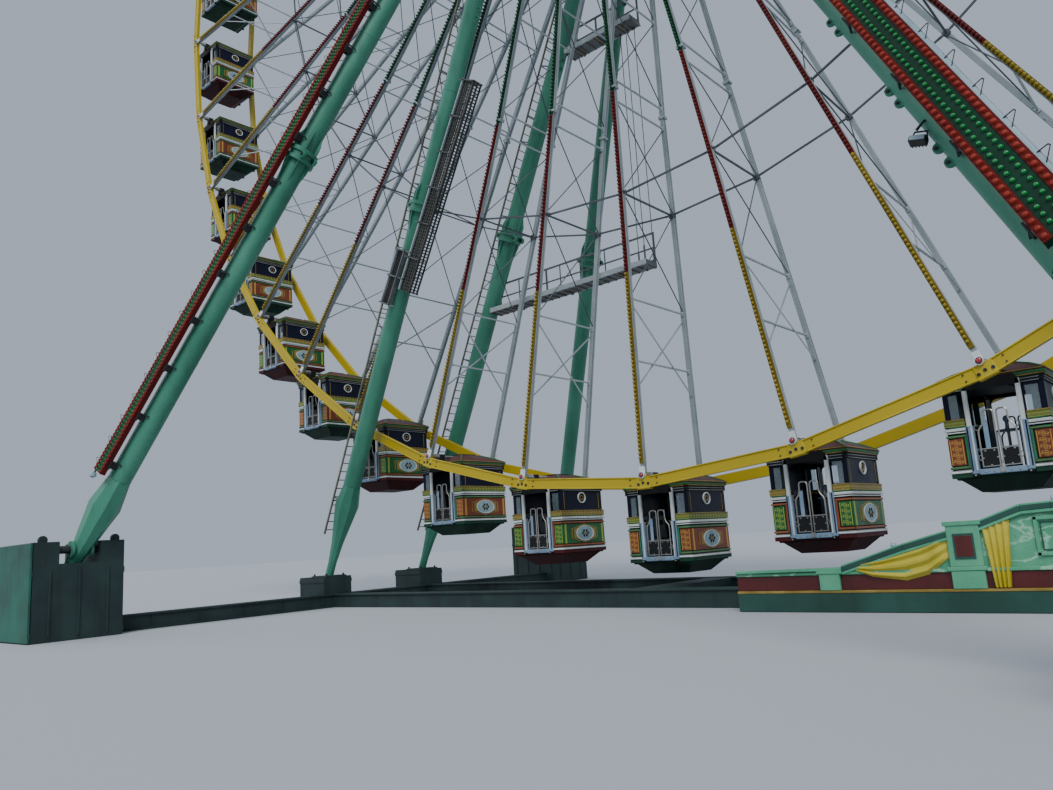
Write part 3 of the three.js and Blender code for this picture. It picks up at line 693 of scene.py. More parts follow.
def cabinColours(kind, panel, panelFaded, border, borderFaded, ink, band, bandInk, dark, underFaded):
    hopper = finish("hopper" + kind, dark, underFaded, "080404", 0.6, patch=4, run=0.4, shine=0.25)
    under = finish("skirt" + kind, underFaded, underFaded, "1a0606", 0.5, patch=4, run=0.4, shine=0.3)
    return [
        finish("panel" + kind, panel, panelFaded, "141b12", 0.36, coat=0.1, patch=4, shine=0.35),
        finish("frame" + kind, border, borderFaded, "2b1b12", 0.36, patch=5),
        *cabinShared[:8], hopper, *cabinShared[8:10], under, cabinShared[10],
        finish("band" + kind, band, band, "2b230d", 0.4, 0.2, pattern=rosettePattern(bandInk, 14.0)),
        finish("scroll" + kind, panel, panelFaded, "141b12", 0.34, pattern=rosettePattern(ink, 4.0)),
        finish("medallion" + kind, "7fa0a8", "9bb5ba", "2c3a3d", 0.35, patch=8),
    ]


cabinSchemes = {  # panel, panel faded, frame, frame faded, scroll, band, band's flowers, hopper, skirt
    "Red": "703016 824024 1f6d45 2f8057 b8903c 4d5a1c b9bd5a 0a2217 14402e",
    "Green": "0c5523 156a30 8a3a20 9c4c2e 95a83c 6b5a20 cdb65a 2c080a 481014",
}


def cabinsOnWheel():
    shape = cabinBody()
    schemes = [cabinColours(kind, *colours.split()) for kind, colours in cabinSchemes.items()]
    for i in range(wheel["count"]):
        angle = 2 * math.pi * i / wheel["count"]
        name = "cabin_%02d" % (i + 1)
        mesh = shape.copy()
        mesh.transform(Matrix.Translation((m * wheel["radius"] * math.sin(angle), 0,
                                           m * (wheel["hubHeight"] - wheel["radius"] * math.cos(angle)))))
        piece(name + "_finished", mesh, schemes[i % 2], name, [name])
    print("cabins made,", len(shape.polygons), "faces each")


cabinsOnWheel()

spokes = {
    "stripWide": 0.11, "stripThick": 0.03, "bulbStep": 0.109,
    "bulb": [(0, 0.105), (0.037, 0.068), (0.025, 0), (0, 0)],  # radius and height
    "zones": [(2.1, 12.72, 0), (12.72, 18.0, 1), (18.0, 23.1, 2)],  # from, to, finish
    "struts": [4.3, 6.3, 9.4, 12.3, 12.95, 18.7, 20.4],
    "bays": [(2.3, 4.3), (4.3, 6.3), (6.3, 9.4), (9.4, 12.3), (12.95, 15.7), (15.7, 18.7)],
    "outerBay": (18.95, 21.1),
    "plates": [(12.56, 0.1), (12.6, 0.1), (2.35, 0.11)],  # distance from the axle, half width
    "rod": 0.017, "strut": 0.048, "tieRadius": 15.7, "lip": 0.018,
}


def halfAt(r):  # half the distance between the wheel frames, at a distance from the axle
    w = wheel
    inner, outer = ("flange", "halfAtHub", "joint", "halfAtJoint"), ("joint", "halfAtJoint", "radius", "halfAtRim")
    r0, half0, r1, half1 = (w[key] for key in (inner if r < w["joint"] else outer))
    return half0 + (half1 - half0) * (r - r0) / (r1 - r0)


def onSpoke(r, y, x=0.0):
    return Vector((x, y, wheel["hubHeight"] - r))


def aroundWheel(bm):
    count = wheel["count"]
    bmesh.ops.spin(bm, geom=bm.verts[:] + bm.edges[:] + bm.faces[:], cent=axle, axis=(0, 1, 0),
                   angle=2 * math.pi * (count - 1) / count, steps=count - 1, use_duplicate=True)


def spokeLamps():
    strips, bulbs, single = bmesh.new(), bmesh.new(), bmesh.new()
    turned(single, spokes["bulb"], None, 6)
    shape = meshFrom(single)
    forward = Matrix.Rotation(math.pi / 2, 4, "X")
    out = wheel["spokeDeep"] / 2
    for low, high, finishIndex in spokes["zones"]:
        a, b = (onSpoke(r, -halfAt(r) - out - 0.01) for r in (low, high))
        beam(strips, a, b, spokes["stripWide"], spokes["stripThick"], finishIndex, (0, 1, 0))
        lamps = [low + (k + 0.5) * spokes["bulbStep"] for k in range(int((high - low) / spokes["bulbStep"]))]
        before = len(bulbs.faces)
        stamp(bulbs, shape, [Matrix.Translation(onSpoke(r, -halfAt(r) - out - 0.024)) @ forward for r in lamps])
        for f in list(bulbs.faces)[before:]:
            f.material_index = finishIndex
    aroundWheel(strips)
    aroundWheel(bulbs)
    piece("spoke_lamp_strips", strips, [stripGreen, stripRed, stripYellow], "wheel")
    piece("spoke_lamps", bulbs, [spokeGreen, spokeRed, spokeYellow], "wheel")


def spokeBracing():
    rods, struts = bmesh.new(), bmesh.new()
    inner, thick = wheel["spokeDeep"] / 2, spokes["strut"]
    for r in spokes["struts"]:
        half = halfAt(r)
        beam(struts, onSpoke(r, -half + inner), onSpoke(r, half - inner), thick, thick, 0, (0, 0, 1), 0.006)
        for s in (-1, 1):
            y = s * (half - inner - 0.012)
            box(struts, onSpoke(r + 0.07, y - 0.016, -0.048), onSpoke(r - 0.07, y + 0.016, 0.048), 0, 0.005)
    for low, high in (*spokes["bays"], spokes["outerBay"]):
        a, b = (halfAt(r) - inner - 0.01 for r in (low, high))
        for s in (-1, 1):
            if (low, high) == spokes["outerBay"]:  # flat bars, the others are rods
                ends = onSpoke(low, s * a, -s * 0.035), onSpoke(high, -s * b, -s * 0.035)
                beam(struts, *ends, 0.016, 0.045)
            else:
                ends = onSpoke(low + 0.08, s * a, -s * 0.03), onSpoke(high - 0.08, -s * b, -s * 0.03)
                rod(rods, *ends, spokes["rod"], 0, 5)
    aroundWheel(rods)
    aroundWheel(struts)
    piece("spoke_cross_rods", rods, [darkRod], "wheel")
    piece("spoke_struts", struts, [greySteel], "wheel")


def tieClamps():  # the clamps that hold the ring of ties to the spokes, with their tightening sleeves
    bm = bmesh.new()
    r, step = spokes["tieRadius"], 2 * math.pi / wheel["count"]
    for s in (-1, 1):
        y = s * (halfAt(r) - 0.0905)
        a = onSpoke(r, y)
        b = Vector((r * math.sin(step), y, wheel["hubHeight"] - r * math.cos(step)))
        for near, far in ((0.05, 0.08), (0.92, 0.95)):
            rod(bm, a.lerp(b, near), a.lerp(b, far), 0.034, 0, 8)
        box(bm, onSpoke(r + 0.075, y - 0.024, -0.085), onSpoke(r - 0.075, y + 0.024, 0.085), 0, 0.012)
        y = s * halfAt(r)
        box(bm, onSpoke(r + 0.04, y - 0.076, -0.064), onSpoke(r - 0.04, y + 0.076, 0.064), 0, 0.006)
    aroundWheel(bm)
    piece("tie_clamps", bm, [darkRod], "wheel")


def spokeJoints():
    bm = bmesh.new()
    for s in (-1, 1):
        for r, wide in spokes["plates"]:
            y = s * halfAt(r)
            box(bm, onSpoke(r + 0.018, y - wide, -wide), onSpoke(r - 0.018, y + wide, wide), 0, 0.005)
            for a, b in corners:
                pin(bm, onSpoke(r, y + a * (wide - 0.022), b * (wide - 0.022)), (0, 0, 0.04), 0.013, 1)
        y = s * wheel["halfAtHub"]
        for b in (-0.068, 0.068):  # cheeks that hold the spoke's foot on the flange
            box(bm, onSpoke(2.3, y - 0.1, b - 0.013), onSpoke(1.3, y + 0.1, b + 0.013), 1, 0.008)
        for r in (1.4, 1.62):
            rod(bm, onSpoke(r, y + s * 0.135), onSpoke(r, y + s * 0.185), 0.035, 1)
    aroundWheel(bm)
    piece("spoke_joints", bm, [greySteel, darkSteel], "wheel")


def spokeLips():  # the flanges that make each spoke a channel, seen from the side
    bm = bmesh.new()
    lip = spokes["lip"]
    shift, x = (wheel["spokeDeep"] - lip) / 2, wheel["spokeWide"] / 2 + 0.004
    for s in (-1, 1):
        for low, high in ((2.4, wheel["joint"]), (wheel["joint"] + 0.15, wheel["radius"] - 0.3)):
            for a, b in corners:
                ends = (onSpoke(r, s * halfAt(r) + b * shift, a * x) for r in (low, high))
                beam(bm, *ends, 0.014, lip, 0, (0, 1, 0))
    aroundWheel(bm)
    piece("spoke_lips", bm, [greySteel], "wheel")


def rimFittings():
    bm = bmesh.new()
    pivot, deep = wheel["radius"], wheel["rimDeep"] / 2
    outer = pivot + wheel["rimOut"]
    for s in (-1, 1):
        face = s * (wheel["halfAtRim"] + wheel["spokeDeep"] / 2)
        rimFace = s * (wheel["halfAtRim"] + deep)
        box(bm, onSpoke(pivot + 0.02, face, -0.09), onSpoke(pivot - 0.22, face + s * 0.03, 0.09), 0, 0.02)
        rod(bm, onSpoke(pivot, face), onSpoke(pivot, face + s * 0.085), 0.088, 0, 16)
        rod(bm, onSpoke(pivot, face + s * 0.08), onSpoke(pivot, face + s * 0.1), 0.07, 2, 16, 0.064)
        ball(bm, onSpoke(pivot, face + s * 0.085), 0.06, 3, 0.6, (0, s, 0), 2)
        for x, r in ((-0.14, outer + 0.03), (0.0, outer), (0.15, outer + 0.02)):
            rod(bm, onSpoke(r, rimFace - s * 0.01, x), onSpoke(r, rimFace + s * 0.04, x), 0.036, 2, 8)
        for x in (-0.4, 0.4):  # the bolts of the lap where two rim beams meet
            r = outer - abs(x) * 0.087
            for k in (-0.07, 0.07):
                rod(bm, onSpoke(r + k, rimFace, x), onSpoke(r + k, rimFace + s * 0.025, x), 0.018, 2)
        y = rimFace - s * deep
        box(bm, onSpoke(outer + 0.16, y - 0.08, -0.2), onSpoke(outer - 0.16, y + 0.08, 0.2), 1, 0.02)
    aroundWheel(bm)
    piece("rim_fittings", bm, [cabinShared[1], rimYellow, darkSteel, lensRed], "wheel")


def rimLips():  # rolled edges along both rim beams
    bm = bmesh.new()
    step = math.pi / wheel["count"]
    y = wheel["halfAtRim"] + wheel["rimDeep"] / 2 + 0.01
    for s in (-1, 1):
        for shift in (-0.13, 0.13):
            far = wheel["radius"] + wheel["rimOut"] + shift
            r, span = far * math.cos(step), far * math.sin(step)
            beam(bm, onSpoke(r, s * y, -span), onSpoke(r, s * y, span), 0.03, 0.03, 0, (0, 1, 0), 0.006)
    bmesh.ops.rotate(bm, verts=bm.verts, cent=axle, matrix=Matrix.Rotation(step, 3, "Y"))
    aroundWheel(bm)
    piece("rim_edges", bm, [rimYellow], "wheel")


def aroundHub(count, radius):  # points on a circle round the axle
    turns = [2 * math.pi * k / count for k in range(count)]
    return [axle + radius * Vector((math.sin(t), 0, math.cos(t))) for t in turns]


def ring(bm, inner, outer, y0, y1, turn, mat):  # a plain ring round the axle
    turned(bm, [(inner, y0), (outer, y0), (outer, y1), (inner, y1), (inner, y0)], turn, 36, mat)


def hubFittings():
    bm = bmesh.new()
    y = wheel["halfAtHub"] + 0.13
    for s in (-1, 1):
        turn = Matrix.Translation(axle) @ Matrix.Rotation(-s * math.pi / 2, 4, "X")
        turned(bm, [(0.36, y), (1.15, y), (1.15, y + 0.05), (1.05, y + 0.08), (0.6, y + 0.08), (0.5, y + 0.045),
                    (0.36, y + 0.045), (0.36, y)], turn, 36, 0)
        ring(bm, 1.62, 1.78, y, y + 0.03, turn, 1)
        for at in aroundHub(24, 0.85):
            rod(bm, at + Vector((0, s * (y + 0.07), 0)), at + Vector((0, s * (y + 0.12), 0)), 0.035, 1)
        turned(bm, [(0, 2.6), (0.2, 2.6), (0.26, 2.56), (0.3, 2.5), (0.3, 2.4), (0, 2.4)], turn, 20, 1)
    for inner, outer in zip(aroundHub(12, 0.93), aroundHub(12, 1.6)):  # webs between the two flanges
        beam(bm, inner, outer, 0.03, 2.1, 0, (0, 1, 0))
    piece("hub_fittings", bm, [turquoise, darkSteel], "wheel")


spokeLamps()
spokeBracing()
tieClamps()
spokeJoints()
spokeLips()
rimFittings()
rimLips()
hubFittings()
print("wheel dressed")

legs = {
    "main": {"top": (0.5, 2.1), "foot": (13.1, 2.1), "seat": 1.0},
    "side": {"top": (0.0, 2.1), "foot": (12.7, 11.3), "footRear": (13.0, 10.4), "seat": 1.9},
    "tube": [(0.02, 0.2), (0.3, 0.28), (0.5215, 0.29), (0.5215, 0.42), (0.5252, 0.42), (0.5252, 0.365), (0.53, 0.365),
             (0.53, 0.42), (0.5335, 0.42), (0.5335, 0.3), (0.85, 0.29)],
    "cone": [(0.85, 0.29), (0.875, 0.41), (0.92, 0.205), (0.945, 0.145), (0.97, 0.145)],
    "welds": [(0.16, 0.24), (0.3, 0.28), (0.4, 0.2845)],
    "fins": 6, "finHigh": 0.39, "sides": 36,
    "headRings": [  # radius and distance from the wheel's middle
        [(0.4, 2.62), (0.98, 2.62), (0.98, 2.66), (0.9, 2.7), (0.5, 2.7), (0.4, 2.66), (0.4, 2.62)],
        [(1.03, 1.68), (1.09, 1.7), (1.09, 1.8), (1.03, 1.82), (1.03, 1.68)],
        [(1.03, 2.42), (1.09, 2.44), (1.09, 2.56), (1.03, 2.58), (1.03, 2.42)],
    ],
    "lugs": {-1: (18.2, 20.8), 1: (5.85, 6.95, 8.55, 11.3, 15.7, 18.3, 20.9)},  # heights on the left and right legs
}
everyLeg = [(kind, side, face) for kind in ("main", "side") for side, face in corners]


def legEnds(kind, side, face):
    g = legs[kind]
    foot = g["footRear"] if kind == "side" and face > 0 else g["foot"]
    return (Vector((side * g["top"][0], face * g["top"][1], wheel["hubHeight"])),
            Vector((side * foot[0], face * foot[1], 0)))


def legAt(kind, side, face, height):
    top, foot = legEnds(kind, side, face)
    return foot.lerp(top, height / wheel["hubHeight"])


def leg(kind, side, face):
    bm = bmesh.new()
    top, foot = legEnds(kind, side, face)
    length = (foot - top).length
    turn = along(top, foot, (0, 1, 0))
    rings = [(0, legs["tube"][0][0] * length)] + [(r, s * length) for s, r in legs["tube"]] + [(0, 0.85 * length)]
    turned(bm, rings, turn, legs["sides"], 0)
    cone = [(0, 0.849 * length)] + [(r, s * length) for s, r in legs["cone"]] + [(0, 0.97 * length)]
    turned(bm, cone, turn @ Matrix.Rotation(math.pi / 8, 4, "Z"), 8, 0)
    for share, r in legs["welds"]:
        z = share * length
        turned(bm, [(r - 0.02, z - 0.03), (r + 0.008, z - 0.02), (r + 0.008, z + 0.02), (r - 0.02, z + 0.03),
                    (r - 0.02, z - 0.03)], turn, 28, 0)
    above, below, high = 0.522 * length, 0.533 * length, legs["finHigh"]
    upper = [(0.26, above - 0.6), (0.29, above - 0.6), (high, above - 0.3), (high, above), (0.26, above)]
    lower = [(0.26, below), (high, below), (high, below + 0.12), (0.3, below + 0.65), (0.26, below + 0.65)]
    for k in range(legs["fins"]):
        spin = turn @ Matrix.Rotation((k + 0.5) * 2 * math.pi / legs["fins"], 4, "Z")
        for outline in (upper, lower):
            slab(bm, outline, -0.014, 0.014, 0, spin)
    across = turn.to_3x3() @ Vector((0, 1, 0))
    for x in (-0.4, 0.4):  # the eyes and pins that lock the two halves
        for y in (-0.2, 0.2):
            at = turn @ Vector((x, y, 0.5276 * length))
            pin(bm, at, across * 0.03, 0.11, 0, 16)
            pin(bm, at, across * 0.05, 0.045, 1, 12)
    if kind == "side":  # the pin and fork at the foot
        at = legAt(kind, side, face, 2.25)
        pin(bm, at, (0, 0.62, 0), 0.1, 1, 16)
        for y in (-0.23, 0.23):
            pin(bm, at + Vector((0, y, 0)), (0, 0.03, 0), 0.22, 0, 16)
    name = kind + "_leg_" + ("front" if face < 0 else "rear") + ("_left" if side < 0 else "_right")
    piece(name + "_finished", bm, [turquoise, darkSteel], "structure", [name])


def legLugs():  # pairs of round lugs that carried the legs' lifting gear, on their inner sides
    bm = bmesh.new()
    for kind, side, face in everyLeg:
        top, foot = legEnds(kind, side, face)
        down = (foot - top).normalized()
        inner = Vector((-side, 0, 0))
        inner = (inner - down * inner.dot(down)).normalized()
        cross = down.cross(inner)
        for height in legs["lugs"][side]:
            for k in (-0.14, 0.14):
                spot = legAt(kind, side, face, height) + inner * 0.29 + down * k
                pin(bm, spot, cross * 0.02, 0.08, 0, 12)
                pin(bm, spot + inner * 0.035, cross * 0.035, 0.024, 1, 8)
    piece("leg_lugs", bm, [turquoise, darkSteel], "structure")


for kind, side, face in everyLeg:
    leg(kind, side, face)
legLugs()


def headCovers():
    bm = bmesh.new()
    for s in (-1, 1):
        turn = Matrix.Translation(axle) @ Matrix.Rotation(-s * math.pi / 2, 4, "X")
        for profile in legs["headRings"]:
            turned(bm, profile, turn, 36, 0)
        for at in aroundHub(16, 0.7):
            rod(bm, at + Vector((0, s * 2.69, 0)), at + Vector((0, s * 2.74, 0)), 0.035, 1)
    piece("hub_head_covers", bm, [turquoise, darkSteel], "structure")


headCovers()
print("legs made")

board = {
    "high": 25.0, "low": 4.0, "out": 0.075, "front": 0.545, "wide": 0.43, "thick": 0.11, "red": 0.091,
    "rows": [(0.06, 0.108, 0, 0.027), (0.17, 0.108, 1, 0.036)],  # distance from the middle, step, finish, radius
    "hookStep": 0.62, "clampStep": 1.42,
    "hook": [(0, -0.02, 0), (0.11, 0.02, 0.03), (0.12, 0.02, 0.055), (0, -0.02, 0.17)],  # out, forward, down
}


def boardPlace(side):  # the board's own axes: outwards times side, forwards and down
    high, low = legAt("side", side, -1, board["high"]), legAt("side", side, -1, board["low"])
    down = (low - high).normalized()
    out = down.cross(Vector((0, -1, 0))).normalized()
    out = -out if out.x * side < 0 else out
    front = out.cross(down).normalized()
    front = -front if front.y > 0 else front
    start = high + out * board["out"] + front * board["front"]
    turn = Matrix.Translation(start) @ Matrix((out * side, front, down)).transposed().to_4x4()
    return turn, (low - high).length


def boardHardware(bm, side, turn, length, edge):  # trim, hooks and clamps, and the lamp below
    face = board["thick"] / 2
    box(bm, (edge - 0.03, face - 0.05, 0), (edge + 0.03, face - 0.02, length), 3, 0.004, turn)
    trim = edge + side * 0.026
    box(bm, (trim - 0.006, -face, 0), (trim + 0.006, face - 0.02, length), 3, 0, turn)
    lamp = turn @ Vector((edge, 0, length + 0.16))
    ball(bm, lamp, 0.1, 3)
    beam(bm, lamp, turn @ Vector((edge * 0.8, 0, length - 0.05)), 0.03, 0.03, 2)
    count = int(length / board["hookStep"])
    for k in range(count):
        z = (k + 0.5) * length / count
        tube(bm, [turn @ Vector((edge + side * a, face + b, z + c)) for a, b, c in board["hook"]], 0.008, 2, sides=0)
    count = int(length / board["clampStep"])
    for k in range(count):  # clamps that reach round the leg
        z = (k + 0.8) * length / count
        for a in (-side * 0.15, side * 0.06):
            box(bm, (a - 0.04, -0.29, z - 0.08), (a + 0.04, 0.01 - face, z + 0.08), 2, 0.008, turn)
        a = -side * 0.24
        box(bm, (a - 0.014, -0.07, z - 0.11), (a + 0.014, -0.01, z + 0.11), 2, 0.004, turn)
        beam(bm, *(turn @ Vector((-side * a, b, z - 0.1)) for a, b in ((0.2, -0.05), (0.27, -0.3))), 0.03, 0.03, 2)


def lampBoard(side):
    strips, bulbs = bmesh.new(), bmesh.new()
    turn, length = boardPlace(side)
    half, face, red = board["wide"] / 2, board["thick"] / 2, board["red"]
    for a, b, mat, proud in ((-half, -half + red, 1, 0.014), (half - red, half, 1, 0.014),
                             (-half + red, half - red, 0, 0.005)):
        box(strips, (a, face - 0.004, 0), (b, face + proud, length), mat, 0.003, turn)
    for a in (-half - 0.006, half - 0.006):
        box(strips, (a, -face - 0.01, 0), (a + 0.012, face + 0.014, length), 1, 0, turn)
    boardHardware(strips, side, turn, length, side * (half + 0.035))
    upwards = Matrix.Rotation(-math.pi / 2, 4, "X")
    for at, step, mat, radius in board["rows"]:
        shape = capShape(radius, radius * 1.25, 8, 2)
        count, before = int(length / step), len(bulbs.faces)
        stamp(bulbs, shape, [turn @ Matrix.Translation((u, face + 0.012, (k + 0.5) * length / count)) @ upwards
                             for u in (-at, at) for k in range(count)])
        for f in list(bulbs.faces)[before:]:
            f.material_index = mat
        bpy.data.meshes.remove(shape)
    end = "left" if side < 0 else "right"
    piece("lamp_board_strips_" + end, strips, [stripGreen, stripRed, darkSteel, edgeBlue], "structure")
    piece("lamp_board_bulbs_" + end, bulbs, [lampGreen, lampRed], "structure")


lampBoard(-1)
lampBoard(1)


def floodlight():  # on the inner side of the right leg
    bm = bmesh.new()
    leg0 = legAt("side", 1, -1, 6.0)
    at = leg0 + Vector((-0.45, -0.12, 0.0))
    arm = [leg0 + Vector((-0.24, -0.05, 0.2)), leg0 + Vector((-0.36, -0.1, 0.22)), at + Vector((0, 0, 0.13))]
    tube(bm, arm, 0.018)
    turn = Matrix.Translation(at) @ Matrix.Rotation(0.25, 4, "Y") @ Matrix.Rotation(-0.35, 4, "X")
    box(bm, (-0.1, -0.06, -0.037), (0.1, 0.075, 0.041), 0, 0.012, turn)
    box(bm, (-0.086, -0.068, -0.029), (0.086, -0.054, 0.033), 1, 0.004, turn)
    for k in range(5):
        box(bm, (-0.082 + k * 0.038, 0.066, -0.029), (-0.07 + k * 0.038, 0.09, 0.033), 0, 0, turn)
    for k in (-1, 1):
        beam(bm, turn @ Vector((k * 0.107, 0.016, 0)), turn @ Vector((k * 0.066, 0.016, 0.14)), 0.017, 0.017, 0)
    beam(bm, turn @ Vector((-0.074, 0.016, 0.14)), turn @ Vector((0.074, 0.016, 0.14)), 0.017, 0.017, 0)
    piece("leg_floodlight", bm, [blackCase, edgeBlue], "structure")


floodlight()
print("lamp boards made")

walkways = [
    {"name": "rear_low", "x": (-7.96, -1.3), "rail": -7.96, "z": 10.05},
    {"name": "rear_high", "x": (-3.8, -1.1), "rail": -3.66, "z": 18.3},
]
walkwayShape = {"inner": 1.7, "outer": 2.3, "grateStep": 0.08, "ribStep": 0.3, "postStep": 0.95}


def walkwayDress(w):
    bm = bmesh.new()
    g = walkwayShape
    (x0, x1), z, start, inner, outer = w["x"], w["z"], w["rail"], g["inner"], g["outer"]
    for y in (inner, outer):
        beam(bm, (x0, y, z - 0.08), (x1, y, z - 0.08), 0.05, 0.17, 2, bevel=0.008)
    for k in range(int((x1 - x0) / g["ribStep"]) + 1):
        x = x0 + 0.02 + k * g["ribStep"]
        box(bm, (x - 0.02, inner, z - 0.19), (x + 0.02, outer, z - 0.155), 1)
    for k in range(int((x1 - x0) / g["grateStep"])):
        x = x0 + 0.05 + k * g["grateStep"]
        box(bm, (x - 0.008, inner + 0.02, z - 0.002), (x + 0.008, outer - 0.02, z + 0.022))
    for k in range(3):
        x = x0 + (k + 0.5) * (x1 - x0) / 3
        beam(bm, (x, inner, z - 0.18), (x, outer, z - 0.18), 0.07, 0.07, 1)
    y = outer - 0.025
    beam(bm, (start, y, z + 0.5), (x1, y, z + 0.5), 0.04, 0.04)
    box(bm, (start, y, z), (x1, outer, z + 0.12))
    rod(bm, (start - 0.02, y, z + 0.985), (x1, y, z + 0.985), 0.03, 0, 8)
    posts = int((x1 - start) / g["postStep"])
    for k in range(posts + 1):
        x = start + k * (x1 - 0.03 - start) / posts
        rod(bm, (x, y, z - 0.1), (x, y, z + 0.97), 0.022, 0, 8)
    piece("walkway_parts_" + w["name"], bm, [galvanised, weatheredSteel, greySteel], "structure")


for w in walkways:
    walkwayDress(w)


wires = {"feet": [(-1.35, 1.74), (-1.35, 2.26), (-1.9, 2.26)], "low": 10.0, "high": 18.15, "lean": 0.05}


def walkwayWires():  # taut wires that hold the low walkway's inner end from the high one
    bm = bmesh.new()
    low, high, lean = (wires[k] for k in ("low", "high", "lean"))
    for x, y in wires["feet"]:
        rod(bm, (x, y, low), (x + lean, y, high), 0.014, 0, 5)
        rod(bm, (x, y, low), (x, y, low + 0.5), 0.03)
        ball(bm, (x + lean, y, high - 0.03), 0.045)
    piece("walkway_wires", bm, [darkRod], "structure")


folded = {
    "step": 1.15, "hole": 0.1,
    # from x, to x, finish of the long bars
    "long": [(-0.2, -0.14, 3), (-0.08, -0.05, 1), (0.01, 0.06, 3), (0.12, 0.15, 1), (0.2, 0.25, 1)],
    "slots": [(-0.14, -0.08), (-0.05, 0.01), (0.06, 0.12), (0.15, 0.2)],
    "edge": [(-0.1, -0.05), (0.03, 0.09), (0.18, 0.24)],  # from y, to y
    "short": (-0.7, -0.6, 1.25),  # across from the middle line, low and high end
}


def foldedWalkway():  # the deck stands on edge beside the leg, with its railing folded in
    bm = bmesh.new()
    low = legAt("main", -1, -1, 10.1) + Vector((0.62, -0.31, -0.29))
    high = legAt("main", -1, -1, 16.3) + Vector((0.72, 0.02, -0.34))
    length = (high - low).length
    turn = along(low, high, (0, 1, 0))
    # the bars and slots use dark steel finishes, partly the steel's own dark colour and partly painted shade for the
    # shade inside the folded deck
    for x0, x1, mat in folded["long"]:
        box(bm, (x0, -0.14, 0), (x1, -0.1, length), mat, 0.004, turn)
    for y0, y1 in folded["edge"]:
        box(bm, (0.22, y0, 0), (0.25, y1, length), 3, 0.004, turn)
    box(bm, (-0.24, -0.2, 0), (-0.2, -0.06, length), 2, 0.006, turn)
    for k in range(int(length / folded["hole"]) + 1):
        z = k * folded["hole"]
        for x0, x1 in folded["slots"]:
            box(bm, (x0, -0.13, z), (x1, -0.11, z + 0.035), 1, 0, turn)
        box(bm, (0.225, -0.1, z), (0.245, 0.24, z + 0.035), 1, 0, turn)
    for k in range(6):
        z = length - 0.06 - k * folded["step"]
        box(bm, (-0.42, -0.2, z), (0.26, -0.17, z + 0.028), 0, 0.005, turn)
        box(bm, (0.22, -0.2, z), (0.25, 0.24, z + 0.028), 0, 0.005, turn)
        rod(bm, turn @ Vector((-0.21, -0.23, z + 0.014)), turn @ Vector((-0.21, -0.2, z + 0.014)), 0.03, 1, 8)
    for z in (0.0, length - 0.05):
        box(bm, (-0.2, -0.08, z), (0.25, 0.27, z + 0.05), 0, 0.006, turn)
    x, low, high = folded["short"]  # the short end part, folded in front of the leg
    box(bm, (x - 0.22, -0.22, low), (x - 0.17, -0.06, high), 2, 0.006, turn)
    box(bm, (x + 0.17, -0.22, low), (x + 0.22, -0.06, high), 0, 0.006, turn)
    box(bm, (x - 0.17, -0.1, low), (x + 0.1, -0.08, high), 3, 0.004, turn)
    for k in range(4):
        rod(bm, *(turn @ Vector((x - 0.13 + 0.08 * k, -0.15, z)) for z in (low, high)), 0.014, 1, 6)
    for z in (low, (low + high) / 2, high - 0.05):
        box(bm, (x - 0.24, -0.25, z), (x + 0.24, -0.21, z + 0.05), 0, 0.006, turn)
        box(bm, (x + 0.2, -0.2, z), (-0.2, -0.14, z + 0.05), 0, 0.006, turn)
    piece("folded_walkway_front_finished", bm, [galvanised, deckSteelAndShade, greySteel, darkSteel],
          "structure", ["folded_walkway_front"])


ladder = {"low": 2.2, "high": 24.2, "off": 0.55, "half": 0.2, "rungStep": 0.3, "brackets": 9}


def ladders():
    bm = bmesh.new()
    g = ladder
    for face in (-1, 1):
        high, low = legAt("main", -1, face, g["high"]), legAt("main", -1, face, g["low"])
        up = (high - low).normalized()
        out = Vector((-up.z, 0, up.x)) * g["off"]
        length = (high - low).length
        count = int(length / g["rungStep"])
        for k in range(count):
            pin(bm, low + up * (k + 0.5) * length / count + out, (0, g["half"], 0), 0.016)
        for k in range(g["brackets"]):
            for y in (-g["half"], g["half"]):
                at = low + up * (k + 0.5) * length / g["brackets"] + Vector((0, y, 0))
                beam(bm, at + out * 0.4, at + out, 0.04, 0.04)
    piece("ladder_rungs", bm, [galvanised], "structure")


walkwayWires()
foldedWalkway()
ladders()
print("walkways and ladders made")

parapet = {
    "face": -3.12, "left": 3.2, "right": 11.6,
    "rail": [(5.43, 0.80), (6.6, 1.16), (7.91, 1.49), (8.59, 1.73), (9.05, 1.75), (11.6, 1.76)],
    "courses": [(0.0, 0.36, 0.05, 1), (0.36, 0.41, 0.06, 3), (0.41, 0.7, 0.012, 2), (0.7, 0.76, 0.045, 0)],
    "piers": [(4.98, 5.38, 0), (7.38, 7.92, 1.52), (11.1, 11.58, 1.68)],  # from x, to x, top of the upper part
    "panel": (8.75, 10.95, 0.93, 1.58), "discs": (9.3, 9.85, 10.4), "sockets": [(6.42, 1.2), (9.1, 1.86)],
    "swagTop": [(5.55, 0.86), (6.2, 0.98), (6.9, 1.16), (7.4, 1.36)],
    "swagLow": [(5.56, 0.83), (6.0, 0.66), (6.6, 0.58), (7.0, 0.68), (7.4, 0.98)],
}


def relief(bm, across, down, mat, shape):  # a thin cloth, whose points come from shape(u, t)
    made = bmesh.ops.create_grid(bm, x_segments=across, y_segments=down, size=0.5)["verts"]
    for v in made:
        v.co = shape(v.co.x + 0.5, v.co.y + 0.5)
    paintFaces(made, mat)
    bmesh.ops.solidify(bm, geom=list(faceOf(made)), thickness=0.012)


